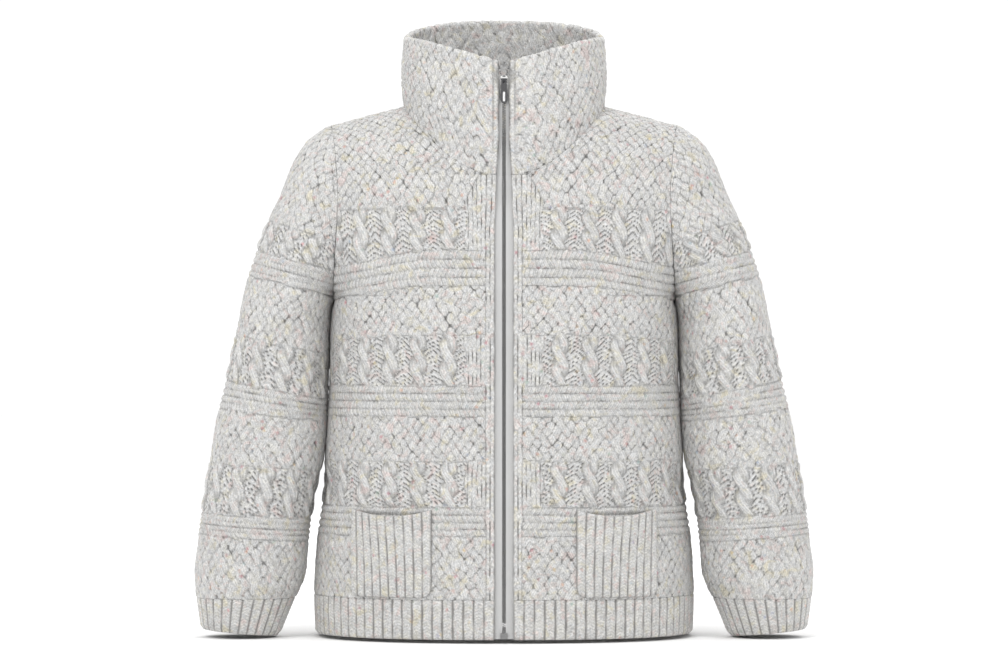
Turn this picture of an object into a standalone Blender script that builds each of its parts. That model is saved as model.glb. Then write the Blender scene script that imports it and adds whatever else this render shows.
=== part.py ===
"""Zip-up sweater: a chunky knitted jacket that keeps the hollow form of a wearer.

Metres, +Z up. The origin is the middle of the neck opening at the height of the shoulders'
high point. The front faces -Y, and left and right are as seen from the front.
Every cloth piece is a thin wall: its outer points carry the raised cables, garter ridges
and ribs, and its inner points are plain.
"""
import math
from collections import namedtuple

import bmesh
import bpy
from mathutils import Vector

# ---------------------------------------------------------------- driving dimensions
WALL = 0.0035            # thickness of the knitted cloth
SEAM_GAP = 0.0003        # space between two pieces at a seam
HEM_Z = -0.634           # lower edge of the hem rib
RIB_TOP_Z = -0.587       # where the hem rib meets the panels
ARM_MID_Z = -0.130       # height at which the armhole is deepest
ARM_DEPTH = 0.072        # half the armhole's size from front to back
UNDERARM_Z = -0.225      # lowest point of the armhole
TIP_Z = -0.0165          # shoulder tip, the highest point of the armhole
SHOULDER_Z = 0.0060      # shoulder line beside the neck
SHOULDER_SLOPE = 0.26    # drop of the shoulder line for each metre outwards
BODY_POWER = 2.3         # squareness of the torso's sections
EDGE_X = 0.0115          # front edges beside the zip, from the centre line
NECK_HALF_WIDTH = 0.1205
NECK_FRONT = 0.112       # from the shoulder line to the front of the neck seam
NECK_BACK = 0.075
NECK_POWER = 2.3
NECK_STEPS = 8           # divisions of each quarter of the neck seam
RIM_SIDE_Z = 0.0885      # collar rim above the shoulder line
RIM_SLOPE = 0.32         # the rim rises towards the back
RIM_DIP = 0.0368         # the front rim dips in a straight line from the sides to the zip
RIM_FRONT = 0.104
RIM_BACK = 0.088
COLLAR_BELLY = 0.0030    # outward swell of the collar halfway up
CURL = 0.0022            # rounding of the collar's rim
COLLAR_SHARES = (0.0, 0.12, 0.36, 0.62, 0.86, 1.0)   # rows of points between the seam and the rim
COLLAR_INNER_ROWS = (0, 1, 3, 5)                     # those kept on the plain inside
GARTER_RISE = 0.0020     # height of a garter ridge over the cloth
CABLE_RISE = 0.0034
CABLE_SWAY = 0.0040      # sideways turn of a cable's crossing
RIB_RISE = 0.0022
BEND_DROP = 0.018        # first garter band's drop towards the armhole
FRONT_COLUMNS = 14
BACK_COLUMNS = 20
SLEEVE_COLUMNS = 16
RIBS_FRONT = 24
RIBS_BACK = 48
RIBS_CUFF = 28
RIBS_POCKET = 10
RIB_TAPER = 0.35         # share of a rib's rise on its bottom edge
RIB_TAPER_HEIGHT = 0.004
EDGE_COLUMNS = 3         # plain columns of points beside the zip
INNER_STEP = 2           # the plain inside keeps every second column of points
HEM_INNER_STEP = 8
WELD = 0.00002           # points closer than this are one

# torso sections: half width at the side or armhole, and depth in front of and behind the seam
Section = namedtuple("Section", "height edge front back")
SECTIONS = (
    Section(-0.634, 0.2285, 0.1500, 0.1400),
    Section(-0.587, 0.2300, 0.1490, 0.1400),
    Section(-0.520, 0.2260, 0.1450, 0.1350),
    Section(-0.432, 0.2150, 0.1390, 0.1260),
    Section(-0.351, 0.2120, 0.1370, 0.1210),
    Section(-0.278, 0.2095, 0.1370, 0.1230),
    Section(-0.218, 0.2075, 0.1330, 0.1260),
    Section(-0.160, 0.2030, 0.1250, 0.1260),
    Section(-0.130, 0.2010, 0.1200, 0.1250),
    Section(-0.090, 0.2010, 0.1180, 0.1220),
    Section(-0.050, 0.2045, 0.1180, 0.1220),
    Section(-0.016, 0.2100, 0.1180, 0.1220),
)

# knitted bands of the panels, from the hem rib up; above the last one the yoke is lumpy knit
Band = namedtuple("Band", "kind bottom top")
BANDS = (
    Band("moss", -0.5870, -0.5120),
    Band("garter", -0.5120, -0.4775),
    Band("cable", -0.4775, -0.4228),
    Band("moss", -0.4228, -0.3693),
    Band("garter", -0.3693, -0.3324),
    Band("cable", -0.3324, -0.2718),
    Band("moss", -0.2718, -0.2135),
    Band("garter", -0.2135, -0.1707),
    Band("cable", -0.1707, -0.1208),
)

# rows of points inside a band: place in the band, share of the rise, sideways sway
Step = namedtuple("Step", "place rise sway")
STEPS = {
    "moss": (Step(0.0, 0.0, 0.0), Step(0.5, 0.0, 0.0)),
    "cable": (Step(0.0, 0.0, 0.0), Step(0.22, 1.0, -1.0), Step(0.5, 0.6, 0.0), Step(0.78, 1.0, 1.0)),
    "garter": tuple(Step(k / 8.0, float(k % 2), 0.0) for k in range(8)),
}
RISES = {"moss": 0.0, "cable": CABLE_RISE, "garter": GARTER_RISE}

# sleeve rings: the ends of each ring's line across the arm, its depth, and its place forwards
Ring = namedtuple("Ring", "inner_x inner_z outer_x outer_z depth forward")
RINGS = (
    Ring(0.2095, -0.0320, 0.2230, -0.0235, 0.0340, 0.000),
    Ring(0.2070, -0.0520, 0.2400, -0.0370, 0.0520, 0.000),
    Ring(0.2040, -0.0760, 0.2530, -0.0560, 0.0640, 0.000),
    Ring(0.2015, -0.1020, 0.2630, -0.0780, 0.0705, 0.000),
    Ring(0.2010, -0.1300, 0.2725, -0.1030, 0.0720, 0.000),
    Ring(0.2025, -0.1600, 0.2865, -0.1330, 0.0735, 0.000),
    Ring(0.2055, -0.1950, 0.3000, -0.1684, 0.0750, -0.001),
    Ring(0.2078, -0.2250, 0.3105, -0.2000, 0.0765, -0.002),
    Ring(0.2130, -0.2420, 0.3150, -0.2180, 0.0765, -0.003),
    Ring(0.2155, -0.2960, 0.3255, -0.2720, 0.0745, -0.007),
    Ring(0.2168, -0.3500, 0.3370, -0.3270, 0.0720, -0.011),
    Ring(0.2185, -0.3770, 0.3455, -0.3610, 0.0705, -0.013),
    Ring(0.2255, -0.4330, 0.3560, -0.4220, 0.0680, -0.018),
    Ring(0.2365, -0.4940, 0.3660, -0.4868, 0.0660, -0.023),
    Ring(0.2395, -0.5220, 0.3700, -0.5124, 0.0650, -0.025),
    Ring(0.2450, -0.5680, 0.3745, -0.5640, 0.0630, -0.028),
    Ring(0.2555, -0.5900, 0.3720, -0.5900, 0.0570, -0.029),
)
TOP_ARC_Z = -0.0240      # ends of the sleeve's top edge on the armhole
SLEEVE_BANDS = (
    Band("garter", -0.5220, -0.4940),
    Band("cable", -0.4940, -0.4360),
    Band("moss", -0.4360, -0.3770),
    Band("garter", -0.3770, -0.3500),
    Band("cable", -0.3500, -0.2960),
    Band("moss", -0.2960, -0.2250),
    Band("garter", -0.2250, -0.1950),
    Band("cable", -0.1950, -0.1600),
)
FOREARM_ROWS = (-0.590, -0.568, -0.545)      # rows of points below the lowest band
CAP_ROWS = (-0.160, -0.130, -0.102, -0.076, -0.052, -0.032)
UNDERARM_ROWS = (-0.2605, -0.2100)           # rows between band starts that the plain inside keeps
CUFF_BOTTOM = Ring(0.2745, -0.6360, 0.3665, -0.6280, 0.0450, -0.031)

# soft creases of the sleeves: height on the ring's inner end, turn round the arm, sizes in metres
Fold = namedtuple("Fold", "height angle reach width depth tilt")
FOLDS = (
    Fold(-0.290, 2.35, 0.055, 0.013, 0.0045, 0.25),
    Fold(-0.330, 2.55, 0.060, 0.014, 0.0050, 0.15),
    Fold(-0.375, -2.30, 0.055, 0.014, 0.0040, -0.20),
    Fold(-0.455, 2.10, 0.050, 0.015, 0.0035, -0.20),
    Fold(-0.545, -0.90, 0.060, 0.014, 0.0030, 0.20),
)

# patch pockets, measured round the body from the centre line
POCKET_START = 0.0860
POCKET_END = 0.1900
POCKET_BOTTOM = -0.5845
POCKET_TOP = -0.4800
POCKET_DIP = 0.0075      # sag of the pocket's mouth
POCKET_WALL = 0.0025
POCKET_GAPE = 0.0120     # how far the mouth stands off the panel
POCKET_CORNER = 0.0130
POCKET_ROWS = 6

# zip
TAPE_THICK = 0.0008
TAPE_INNER_X = 0.0021
TAPE_OUTER_X = 0.0190
CHAIN_WIDTH = 0.0016
CHAIN_DEPTH = 0.0022
TAPE_TUCK = 0.0012       # the tape's outer edge lies this much deeper, behind the curved front
SLIDER_Z = 0.0350        # middle of the slider
SLIDER_SIZE = (0.0086, 0.0094)
PLATE_THICK = 0.0011
BRIDGE_HEIGHT = 0.0028
BRIDGE_WIDTH = 0.0016
BRIDGE_LENGTH = 0.0074
BRIDGE_BAR = 0.0010
TAB_THICK = 0.0011
OPEN_SPREAD = 0.0050     # how far each row of teeth has opened at the rim
STOP_SIZE = (0.0084, 0.0072)

KNIT = (0.61, 0.60, 0.58)
KNIT_RIB = (0.56, 0.55, 0.53)
TAPE_GREY = (0.64, 0.64, 0.63)
METAL = (0.20, 0.20, 0.20)


# ---------------------------------------------------------------- curves
def ease(value):
    """Smooth step from 0 to 1."""
    value = min(1.0, max(0.0, value))
    return value * value * (3.0 - 2.0 * value)


def along(rows, key, place, column):
    """Smooth curve through one column of a table whose key column runs one way."""
    keys = [getattr(row, key) for row in rows]
    values = [getattr(row, column) for row in rows]
    if keys[0] > keys[-1]:
        keys.reverse()
        values.reverse()
    if place <= keys[0]:
        return values[0]
    if place >= keys[-1]:
        return values[-1]
    k = max(i for i in range(len(keys) - 1) if keys[i] <= place)
    slopes = [(values[i + 1] - values[i]) / (keys[i + 1] - keys[i]) for i in range(len(keys) - 1)]

    def tangent(i):
        if i == 0 or i == len(keys) - 1:
            return slopes[min(i, len(slopes) - 1)]
        return 0.5 * (slopes[i - 1] + slopes[i])

    span = keys[k + 1] - keys[k]
    t = (place - keys[k]) / span
    return ((2 * t ** 3 - 3 * t ** 2 + 1) * values[k] + (t ** 3 - 2 * t ** 2 + t) * span * tangent(k)
            + (3 * t ** 2 - 2 * t ** 3) * values[k + 1] + (t ** 3 - t ** 2) * span * tangent(k + 1))


def section_value(height, column):
    return along(SECTIONS, "height", height, column)


def find_root(function, low, high):
    """Where a rising function crosses zero."""
    for _ in range(40):
        middle = 0.5 * (low + high)
        if function(middle) > 0.0:
            high = middle
        else:
            low = middle
    return 0.5 * (low + high)


# ---------------------------------------------------------------- torso surface
def armhole_depth(height):
    """Half the armhole from front to back: two quarter ellipses about its middle."""
    if height <= UNDERARM_Z or height >= TIP_Z:
        return 0.0
    reach = TIP_Z - ARM_MID_Z if height > ARM_MID_Z else ARM_MID_Z - UNDERARM_Z
    return ARM_DEPTH * math.sqrt(1.0 - ((height - ARM_MID_Z) / reach) ** 2)


def section_line(face, height, count=48):
    """Points of half a torso section, from the centre line to the side seam or armhole."""
    depth = section_value(height, face)
    edge = section_value(height, "edge")
    hollow = armhole_depth(height) / depth
    half_width = edge / (1.0 - hollow ** BODY_POWER) ** (1.0 / BODY_POWER)
    last = math.acos(hollow ** (BODY_POWER / 2.0))
    points = []
    for k in range(count + 1):
        angle = last * k / count
        points.append((half_width * math.sin(angle) ** (2.0 / BODY_POWER),
                       depth * max(0.0, math.cos(angle)) ** (2.0 / BODY_POWER)))
    return points


def line_lengths(points):
    lengths = [0.0]
    for a, b in zip(points, points[1:]):
        lengths.append(lengths[-1] + math.hypot(b[0] - a[0], b[1] - a[1]))
    return lengths


def point_on_line(points, lengths, distance):
    """Point at a distance along a line of points."""
    distance = min(max(distance, 0.0), lengths[-1])
    k = max(i for i in range(len(lengths) - 1) if lengths[i] <= distance)
    t = (distance - lengths[k]) / (lengths[k + 1] - lengths[k])
    return tuple(a + (b - a) * t for a, b in zip(points[k], points[k + 1]))


def distance_at_x(points, lengths, x):
    """Distance along a section at which it reaches a given x."""
    if x <= 0.0:
        return 0.0
    return find_root(lambda s: point_on_line(points, lengths, s)[0] - x, 0.0, lengths[-1])


def shoulder_height(x):
    return SHOULDER_Z - SHOULDER_SLOPE * max(0.0, x - NECK_HALF_WIDTH)


MID_LINES = {face: section_line(face, ARM_MID_Z) for face in ("front", "back")}
MID_LENGTHS = {face: line_lengths(line) for face, line in MID_LINES.items()}


def upper_point(face, distance, turn):
    """Point above the armhole's middle; turn goes from 0 there to a right angle on the shoulder."""
    x, y = point_on_line(MID_LINES[face], MID_LENGTHS[face], distance)
    edge_height = ARM_MID_Z + (TIP_Z - ARM_MID_Z) * math.sin(turn)
    x *= section_value(edge_height, "edge") / section_value(ARM_MID_Z, "edge")
    z = ARM_MID_Z + (shoulder_height(x) - ARM_MID_Z) * math.sin(turn)
    return Vector((x, -y * math.cos(turn) if face == "front" else y * math.cos(turn), z))


def lower_point(face, distance, height):
    line = section_line(face, height)
    x, y = point_on_line(line, line_lengths(line), distance)
    return Vector((x, -y if face == "front" else y, height))


def neck_plan(face, part):
    """Plan point of the neck seam; part goes from 0 at the centre line to 1 at the shoulder."""
    reach = NECK_FRONT if face == "front" else NECK_BACK
    angle = 0.5 * math.pi * part
    return (NECK_HALF_WIDTH * math.sin(angle) ** (2.0 / NECK_POWER),
            reach * max(0.0, math.cos(angle)) ** (2.0 / NECK_POWER))


def neck_start(face):
    """Part of the neck seam at which the front edge beside the zip begins."""
    if face == "back":
        return 0.0
    return find_root(lambda part: neck_plan(face, part)[0] - EDGE_X, 0.0, 0.5)


def neck_place(face, part):
    """Distance and turn on the torso where the neck seam runs."""
    x, y = neck_plan(face, part)
    turn = 0.5
    for _ in range(8):
        edge_height = ARM_MID_Z + (TIP_Z - ARM_MID_Z) * math.sin(turn)
        scale = section_value(edge_height, "edge") / section_value(ARM_MID_Z, "edge")
        distance = distance_at_x(MID_LINES[face], MID_LENGTHS[face], x / scale)
        depth = point_on_line(MID_LINES[face], MID_LENGTHS[face], distance)[1]
        turn = math.acos(min(1.0, y / depth))
    return distance, turn


def neck_seam(face, part):
    """Seam point, the direction through the cloth, and the direction from panel to collar."""
    distance, turn = neck_place(face, part)
    seam = upper_point(face, distance, turn)
    step = 0.002
    across = upper_point(face, distance + step, turn) - upper_point(face, max(0.0, distance - step), turn)
    up = upper_point(face, distance, min(turn + 0.02, 0.5 * math.pi)) - upper_point(face, distance, turn - 0.02)
    panel_normal = across.cross(up) if face == "front" else up.cross(across)
    panel_normal.normalize()
    x, y = neck_plan(face, part)
    reach = NECK_FRONT if face == "front" else NECK_BACK
    outward = Vector((x ** (NECK_POWER - 1) / NECK_HALF_WIDTH ** NECK_POWER,
                      y ** (NECK_POWER - 1) / reach ** NECK_POWER, 0.0))
    if face == "front":
        outward.y *= -1.0
    outward.normalize()
    if part >= 1.0:
        panel_normal = Vector((0.0, 0.0, 1.0))
        outward = Vector((1.0, 0.0, 0.0))
    through = (panel_normal + outward).normalized()
    ahead = neck_place(face, min(1.0, part + 0.01))
    behind = neck_place(face, max(0.0, part - 0.01))
    tangent = upper_point(face, *ahead) - upper_point(face, *behind)
    away = tangent.cross(through).normalized()
    if away.z < 0.0:
        away.negate()
    return seam, through, away


# ---------------------------------------------------------------- walls
def side_of(point, side):
    """Mirror a point of the right half to the asked side."""
    return Vector((point.x * side, point.y, point.z))


def grid_normals(grid, closed=False):
    """Outward normals of a grid of points, from their neighbours."""
    rows = len(grid)
    columns = len(grid[0])
    normals = []
    for j in range(rows):
        line = []
        for i in range(columns):
            if closed and i in (0, columns - 1):
                across = grid[j][1] - grid[j][columns - 2]
            else:
                across = grid[j][min(i + 1, columns - 1)] - grid[j][max(i - 1, 0)]
            up = grid[min(j + 1, rows - 1)][i] - grid[max(j - 1, 0)][i]
            line.append(across.cross(up).normalized())
        normals.append(line)
    return normals


def shares_along(line):
    """Share of a line's length at each of its vertices."""
    lengths = [0.0]
    for a, b in zip(line, line[1:]):
        lengths.append(lengths[-1] + (b.co - a.co).length)
    return [length / lengths[-1] for length in lengths]


def zip_strips(mesh, line_a, line_b):
    """Triangles between two lines of vertices with any number of points each."""
    shares_a = shares_along(line_a)
    shares_b = shares_along(line_b)
    if len(line_a) == len(line_b):
        shares_b = shares_a
    i = 0
    j = 0
    while i < len(line_a) - 1 or j < len(line_b) - 1:
        if j == len(line_b) - 1 or (i < len(line_a) - 1 and shares_a[i + 1] <= shares_b[j + 1]):
            corners = (line_a[i], line_a[i + 1], line_b[j])
            i += 1
        else:
            corners = (line_a[i], line_b[j + 1], line_b[j])
            j += 1
        mesh.faces.new(corners)


def add_grid(mesh, grid):
    """Vertices and faces of one side of a wall."""
    verts = [[mesh.verts.new(point) for point in line] for line in grid]
    for low, high in zip(verts, verts[1:]):
        for i in range(len(low) - 1):
            mesh.faces.new((low[i], low[i + 1], high[i + 1], high[i]))
    return verts


def make_wall(name, outer, inner, material, closed_rows=(0, 0), corner=(0, 0)):
    """Closed wall between an outer and an inner grid of points.

    closed_rows gives the number of leading rows of each grid whose two ends meet, such as the
    rings of a tube; those ends are welded and need no rim. corner gives the row of each grid at
    which the rim turns, such as where a front edge meets the neck seam.
    """
    mesh = bmesh.new()
    out = add_grid(mesh, outer)
    back = add_grid(mesh, inner)
    zip_strips(mesh, out[0], back[0])
    zip_strips(mesh, out[-1], back[-1])
    open_out, open_in = (max(0, count - 1) for count in closed_rows)
    for end in (0, -1):
        edge_out = [line[end] for line in out]
        edge_in = [line[end] for line in back]
        turn_out, turn_in = (corner if corner[0] else (open_out, open_in))
        if turn_out > open_out:
            zip_strips(mesh, edge_out[open_out:turn_out + 1], edge_in[open_in:turn_in + 1])
        if turn_out < len(edge_out) - 1:
            zip_strips(mesh, edge_out[turn_out:], edge_in[turn_in:])
    return close_and_finish(name, mesh, material)


def close_and_finish(name, mesh, material):
    """Weld a wall's edges, turn its faces out and make it an object."""
    bmesh.ops.remove_doubles(mesh, verts=mesh.verts, dist=WELD)
    bmesh.ops.recalc_face_normals(mesh, faces=mesh.faces)
    bmesh.ops.triangulate(mesh, faces=mesh.faces)
    return finish_object(name, mesh, material)


def finish_object(name, mesh, material):
    data = bpy.data.meshes.new(name)
    mesh.to_mesh(data)
    mesh.free()
    data.materials.append(material)
    piece = bpy.data.objects.new(name, data)
    bpy.context.scene.collection.objects.link(piece)
    return piece


def make_material(name, color, roughness, metallic=0.0):
    material = bpy.data.materials.new(name)
    material.use_nodes = True
    shader = material.node_tree.nodes["Principled BSDF"]
    shader.inputs["Base Color"].default_value = (*color, 1.0)
    shader.inputs["Roughness"].default_value = roughness
    shader.inputs["Metallic"].default_value = metallic
    return material


# ---------------------------------------------------------------- panels
Row = namedtuple("Row", "height rise sway")


def band_rows(bands):
    """Rows of points of a stack of knitted bands, from the bottom up."""
    rows = []
    for band in bands:
        for step in STEPS[band.kind]:
            rows.append(Row(band.bottom + (band.top - band.bottom) * step.place,
                            RISES[band.kind] * step.rise, CABLE_SWAY * step.sway))
    return rows


def drop_at(height, share):
    """Drop of the rows about the first garter band towards the armhole."""
    rise = ease((height + 0.330) / 0.115) if height < -0.19 else ease((-0.130 - height) / 0.045)
    return BEND_DROP * rise * ease((share - 0.35) / 0.65)


def panel_row(face, row, columns):
    """One row of base points below the armhole's middle, from the centre to the side."""
    first = 0.0
    line = section_line(face, row.height)
    lengths = line_lengths(line)
    if face == "front":
        first = distance_at_x(line, lengths, EDGE_X) / lengths[-1]
    points = []
    for i in range(columns + 1):
        share = first + (1.0 - first) * i / columns
        height = row.height - drop_at(row.height, share)
        line = section_line(face, height)
        lengths = line_lengths(line)
        x, y = point_on_line(line, lengths, share * lengths[-1])
        points.append(Vector((x, -y if face == "front" else y, height)))
    return points


def yoke_rows(face, columns):
    """Rows above the armhole's middle, which end on the shoulder seam, and their neck parts."""
    start = neck_start(face)
    first_distance, first_turn = neck_place(face, start)
    right_angle = 0.5 * math.pi
    waist_turn = math.asin((BANDS[-1].top - ARM_MID_Z) / (TIP_Z - ARM_MID_Z))
    turns = [waist_turn]
    if face == "back":
        turns += [first_turn * 0.4, first_turn * 0.7]
    places = [(turn, first_distance, turn) for turn in turns]
    parts = [None] * len(turns)
    for k in range(NECK_STEPS + 1):
        part = start + (1.0 - start) * k / NECK_STEPS
        distance, turn = neck_place(face, part)
        places.append((first_turn + (right_angle - first_turn) * k / NECK_STEPS, distance, turn))
        parts.append(part)
    total = MID_LENGTHS[face][-1]
    rows = []
    for edge_turn, distance, neck_turn in places:
        rows.append([upper_point(face, distance + (total - distance) * i / columns,
                                 neck_turn + (edge_turn - neck_turn) * i / columns)
                     for i in range(columns + 1)])
    return rows, parts


def panel_half(face, columns, sway_turn=1.0):
    """Outer and inner points of half a panel on the right, rows from the hem rib up.

    sway_turn is 1 or -1: the way in which the cables lean."""
    rows = band_rows(BANDS)
    base = [panel_row(face, row, columns) for row in rows]
    upper, parts = yoke_rows(face, columns)
    parts = [None] * len(base) + parts
    base += upper
    rows += [Row(0.0, 0.0, 0.0)] * len(upper)
    normals = grid_normals(base)
    if face == "back":
        normals = [[-normal for normal in line] for line in normals]
    first = EDGE_COLUMNS if face == "front" else 1
    outer = []
    inner = []
    for j, line in enumerate(base):
        across = (line[-1] - line[0]).normalized() * sway_turn
        outer_line = []
        inner_line = []
        for i, point in enumerate(line):
            normal = normals[j][i]
            rise = 0.0
            shift = Vector()
            garter = rows[j].rise == GARTER_RISE
            raised = 0 < i < columns and (garter or (i >= first and i % 2 == 1))
            if raised and rows[j].rise:
                rise = rows[j].rise
                shift = across * rows[j].sway
            outer_line.append(trim_panel(point + normal * rise + shift, face, i == columns))
            inner_line.append(trim_panel(point - normal * WALL, face, i == columns))
        if parts[j] is not None:
            seam, through, away = neck_seam(face, parts[j])
            outer_line[0] = trim_panel(seam - away * SEAM_GAP / 2, face, False)
            inner_line[0] = trim_panel(seam - through * WALL - away * SEAM_GAP / 2, face, False)
        if face == "front":
            inner_line[0].x = outer_line[0].x = max(outer_line[0].x, EDGE_X)
        if j == 0:
            for point in outer_line + inner_line:
                point.z = RIB_TOP_Z + SEAM_GAP / 2
        outer.append(outer_line)
        inner.append(inner_line)
    return outer, inner


def trim_panel(point, face, on_edge):
    """Keep a panel's point on its own side of the side, shoulder and armhole seams."""
    if face == "front":
        point.y = min(point.y, -SEAM_GAP / 2)
    else:
        point.y = max(point.y, SEAM_GAP / 2)
    if point.z > UNDERARM_Z - 0.002:
        limit = section_value(point.z, "edge") - SEAM_GAP
        point.x = limit if on_edge and point.x > limit - WALL / 2 else min(point.x, limit)
    return point


def band_starts(bands):
    """Number of the first row of points of each band."""
    starts = [0]
    for band in bands[:-1]:
        starts.append(starts[-1] + len(STEPS[band.kind]))
    return starts


def plain_rows(grid):
    """Rows kept on the plain inside: the bands' starts and everything above the bands."""
    return [grid[j] for j in band_starts(BANDS)] + grid[len(band_rows(BANDS)):]


def make_front(name, side, material):
    outer, inner = panel_half("front", FRONT_COLUMNS, sway_turn=-side)
    inner = [line[::INNER_STEP] for line in plain_rows(inner)]
    outer = [[side_of(point, side) for point in line] for line in outer]
    inner = [[side_of(point, side) for point in line] for line in inner]
    return make_wall(name, outer, inner, material,
                     corner=(len(band_rows(BANDS)) + 1, len(BANDS) + 1))


def both_sides(line):
    """A row right across the back, from left to right, from its right half."""
    return [side_of(point, -1.0) for point in reversed(line[1:])] + line


def make_back(material):
    outer, inner = panel_half("back", BACK_COLUMNS // 2)
    outer, open_outer = split_neck(outer)
    inner, open_inner = split_neck(plain_rows(inner))
    mesh = bmesh.new()
    out = add_grid(mesh, [both_sides(line) for line in outer])
    back = add_grid(mesh, [both_sides(line[::INNER_STEP]) for line in inner])
    zip_strips(mesh, out[0], back[0])
    for end in (0, -1):
        zip_strips(mesh, [line[end] for line in out], [line[end] for line in back])
    for side in (-1.0, 1.0):
        wing_out = add_grid(mesh, [[side_of(p, side) for p in line] for line in open_outer])
        wing_in = add_grid(mesh, [[side_of(p, side) for p in line[::INNER_STEP]] for line in open_inner])
        zip_strips(mesh, wing_out[-1], wing_in[-1])
        for end in (0, -1):
            zip_strips(mesh, [line[end] for line in wing_out], [line[end] for line in wing_in])
    return close_and_finish("back", mesh, material)


def split_neck(grid):
    """Rows that cross the centre of the back, and the rows beside the neck from its seam on."""
    last = len(grid) - NECK_STEPS
    return grid[:last], grid[last - 1:]


# ---------------------------------------------------------------- hem ribs
def rib_height(count):
    """Rise of each column of points of a ribbed band: groove, ridge, groove and so on."""
    return [RIB_RISE if 0 < k < 2 * count and k % 2 == 1 else 0.0 for k in range(2 * count + 1)]


def hem_half(face, ribs):
    rises = rib_height(ribs)
    heights = (HEM_Z, HEM_Z + RIB_TAPER_HEIGHT, RIB_TOP_Z - SEAM_GAP / 2)
    shares = (RIB_TAPER, 1.0, 1.0)
    base = [panel_row(face, Row(height, 0.0, 0.0), 2 * ribs) for height in heights]
    normals = grid_normals(base)
    turn = 1.0 if face == "front" else -1.0
    outer = []
    inner = []
    for line, normal_line, share in zip(base, normals, shares):
        flat = [Vector((n.x, n.y, 0.0)).normalized() * turn for n in normal_line]
        outer.append([trim_panel(p + n * rise * share, face, False)
                      for p, n, rise in zip(line, flat, rises)])
        inner.append([trim_panel(p - n * WALL, face, False)
                      for p, n in zip(line, flat)][::HEM_INNER_STEP])
    return outer, [inner[0], inner[-1]]


def make_hem_front(name, side, material):
    outer, inner = hem_half("front", RIBS_FRONT)
    outer = [[side_of(point, side) for point in line] for line in outer]
    inner = [[side_of(point, side) for point in line] for line in inner]
    return make_wall(name, outer, inner, material)


def make_hem_back(material):
    outer, inner = hem_half("back", RIBS_BACK // 2)
    return make_wall("hem_back", [both_sides(line) for line in outer],
                     [both_sides(line) for line in inner], material)


# ---------------------------------------------------------------- sleeves
def ring_at(height):
    """Ring of the sleeve whose inner end lies at a height."""
    return Ring(along(RINGS, "inner_z", height, "inner_x"), height,
                *(along(RINGS, "inner_z", height, name) for name in ("outer_x", "outer_z", "depth", "forward")))


def ring_points(ring, columns):
    """Points round the arm from the front of the armhole seam, or from the underarm seam."""
    hollow = armhole_depth(ring.inner_z)
    last = math.pi
    if ring.inner_z > UNDERARM_Z:
        last = math.asin(min(1.0, hollow / ring.depth))
        if ring.inner_z < ARM_MID_Z:
            last = math.pi - last
    depth = ring.depth if ring.inner_z < ARM_MID_Z else hollow
    inner_x = ring.inner_x
    if ring.inner_z > UNDERARM_Z - 0.001:
        inner_x = section_value(ring.inner_z, "edge") + SEAM_GAP
    half = (ring.outer_x - inner_x) / (1.0 - math.cos(last))
    middle = ring.outer_x - half
    points = []
    for k in range(columns + 1):
        angle = last * (2.0 * k / columns - 1.0)
        x = middle + half * math.cos(angle)
        z = ring.inner_z + (ring.outer_z - ring.inner_z) * (x - inner_x) / (ring.outer_x - inner_x)
        points.append(Vector((x, ring.forward + depth * math.sin(angle), z)))
    return points


def top_arc(columns):
    """Edge of the sleeve over the shoulder tip, along the armhole."""
    reach = math.acos((TOP_ARC_Z - ARM_MID_Z) / (TIP_Z - ARM_MID_Z))
    points = []
    for k in range(columns + 1):
        angle = reach * (2.0 * k / columns - 1.0)
        z = ARM_MID_Z + (TIP_Z - ARM_MID_Z) * math.cos(angle)
        points.append(Vector((section_value(z, "edge") + SEAM_GAP, ARM_DEPTH * math.sin(angle), z)))
    return points


def fold_depth(height, angle):
    """Inward move of the soft creases at a place on the sleeve."""
    move = 0.0
    for fold in FOLDS:
        turn = math.remainder(angle - fold.angle, 2.0 * math.pi)
        run = turn * 0.066
        rise = height - fold.height - run * fold.tilt
        move += fold.depth * math.exp(-(rise / fold.width) ** 2 - (run / fold.reach) ** 2)
    return move


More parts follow.
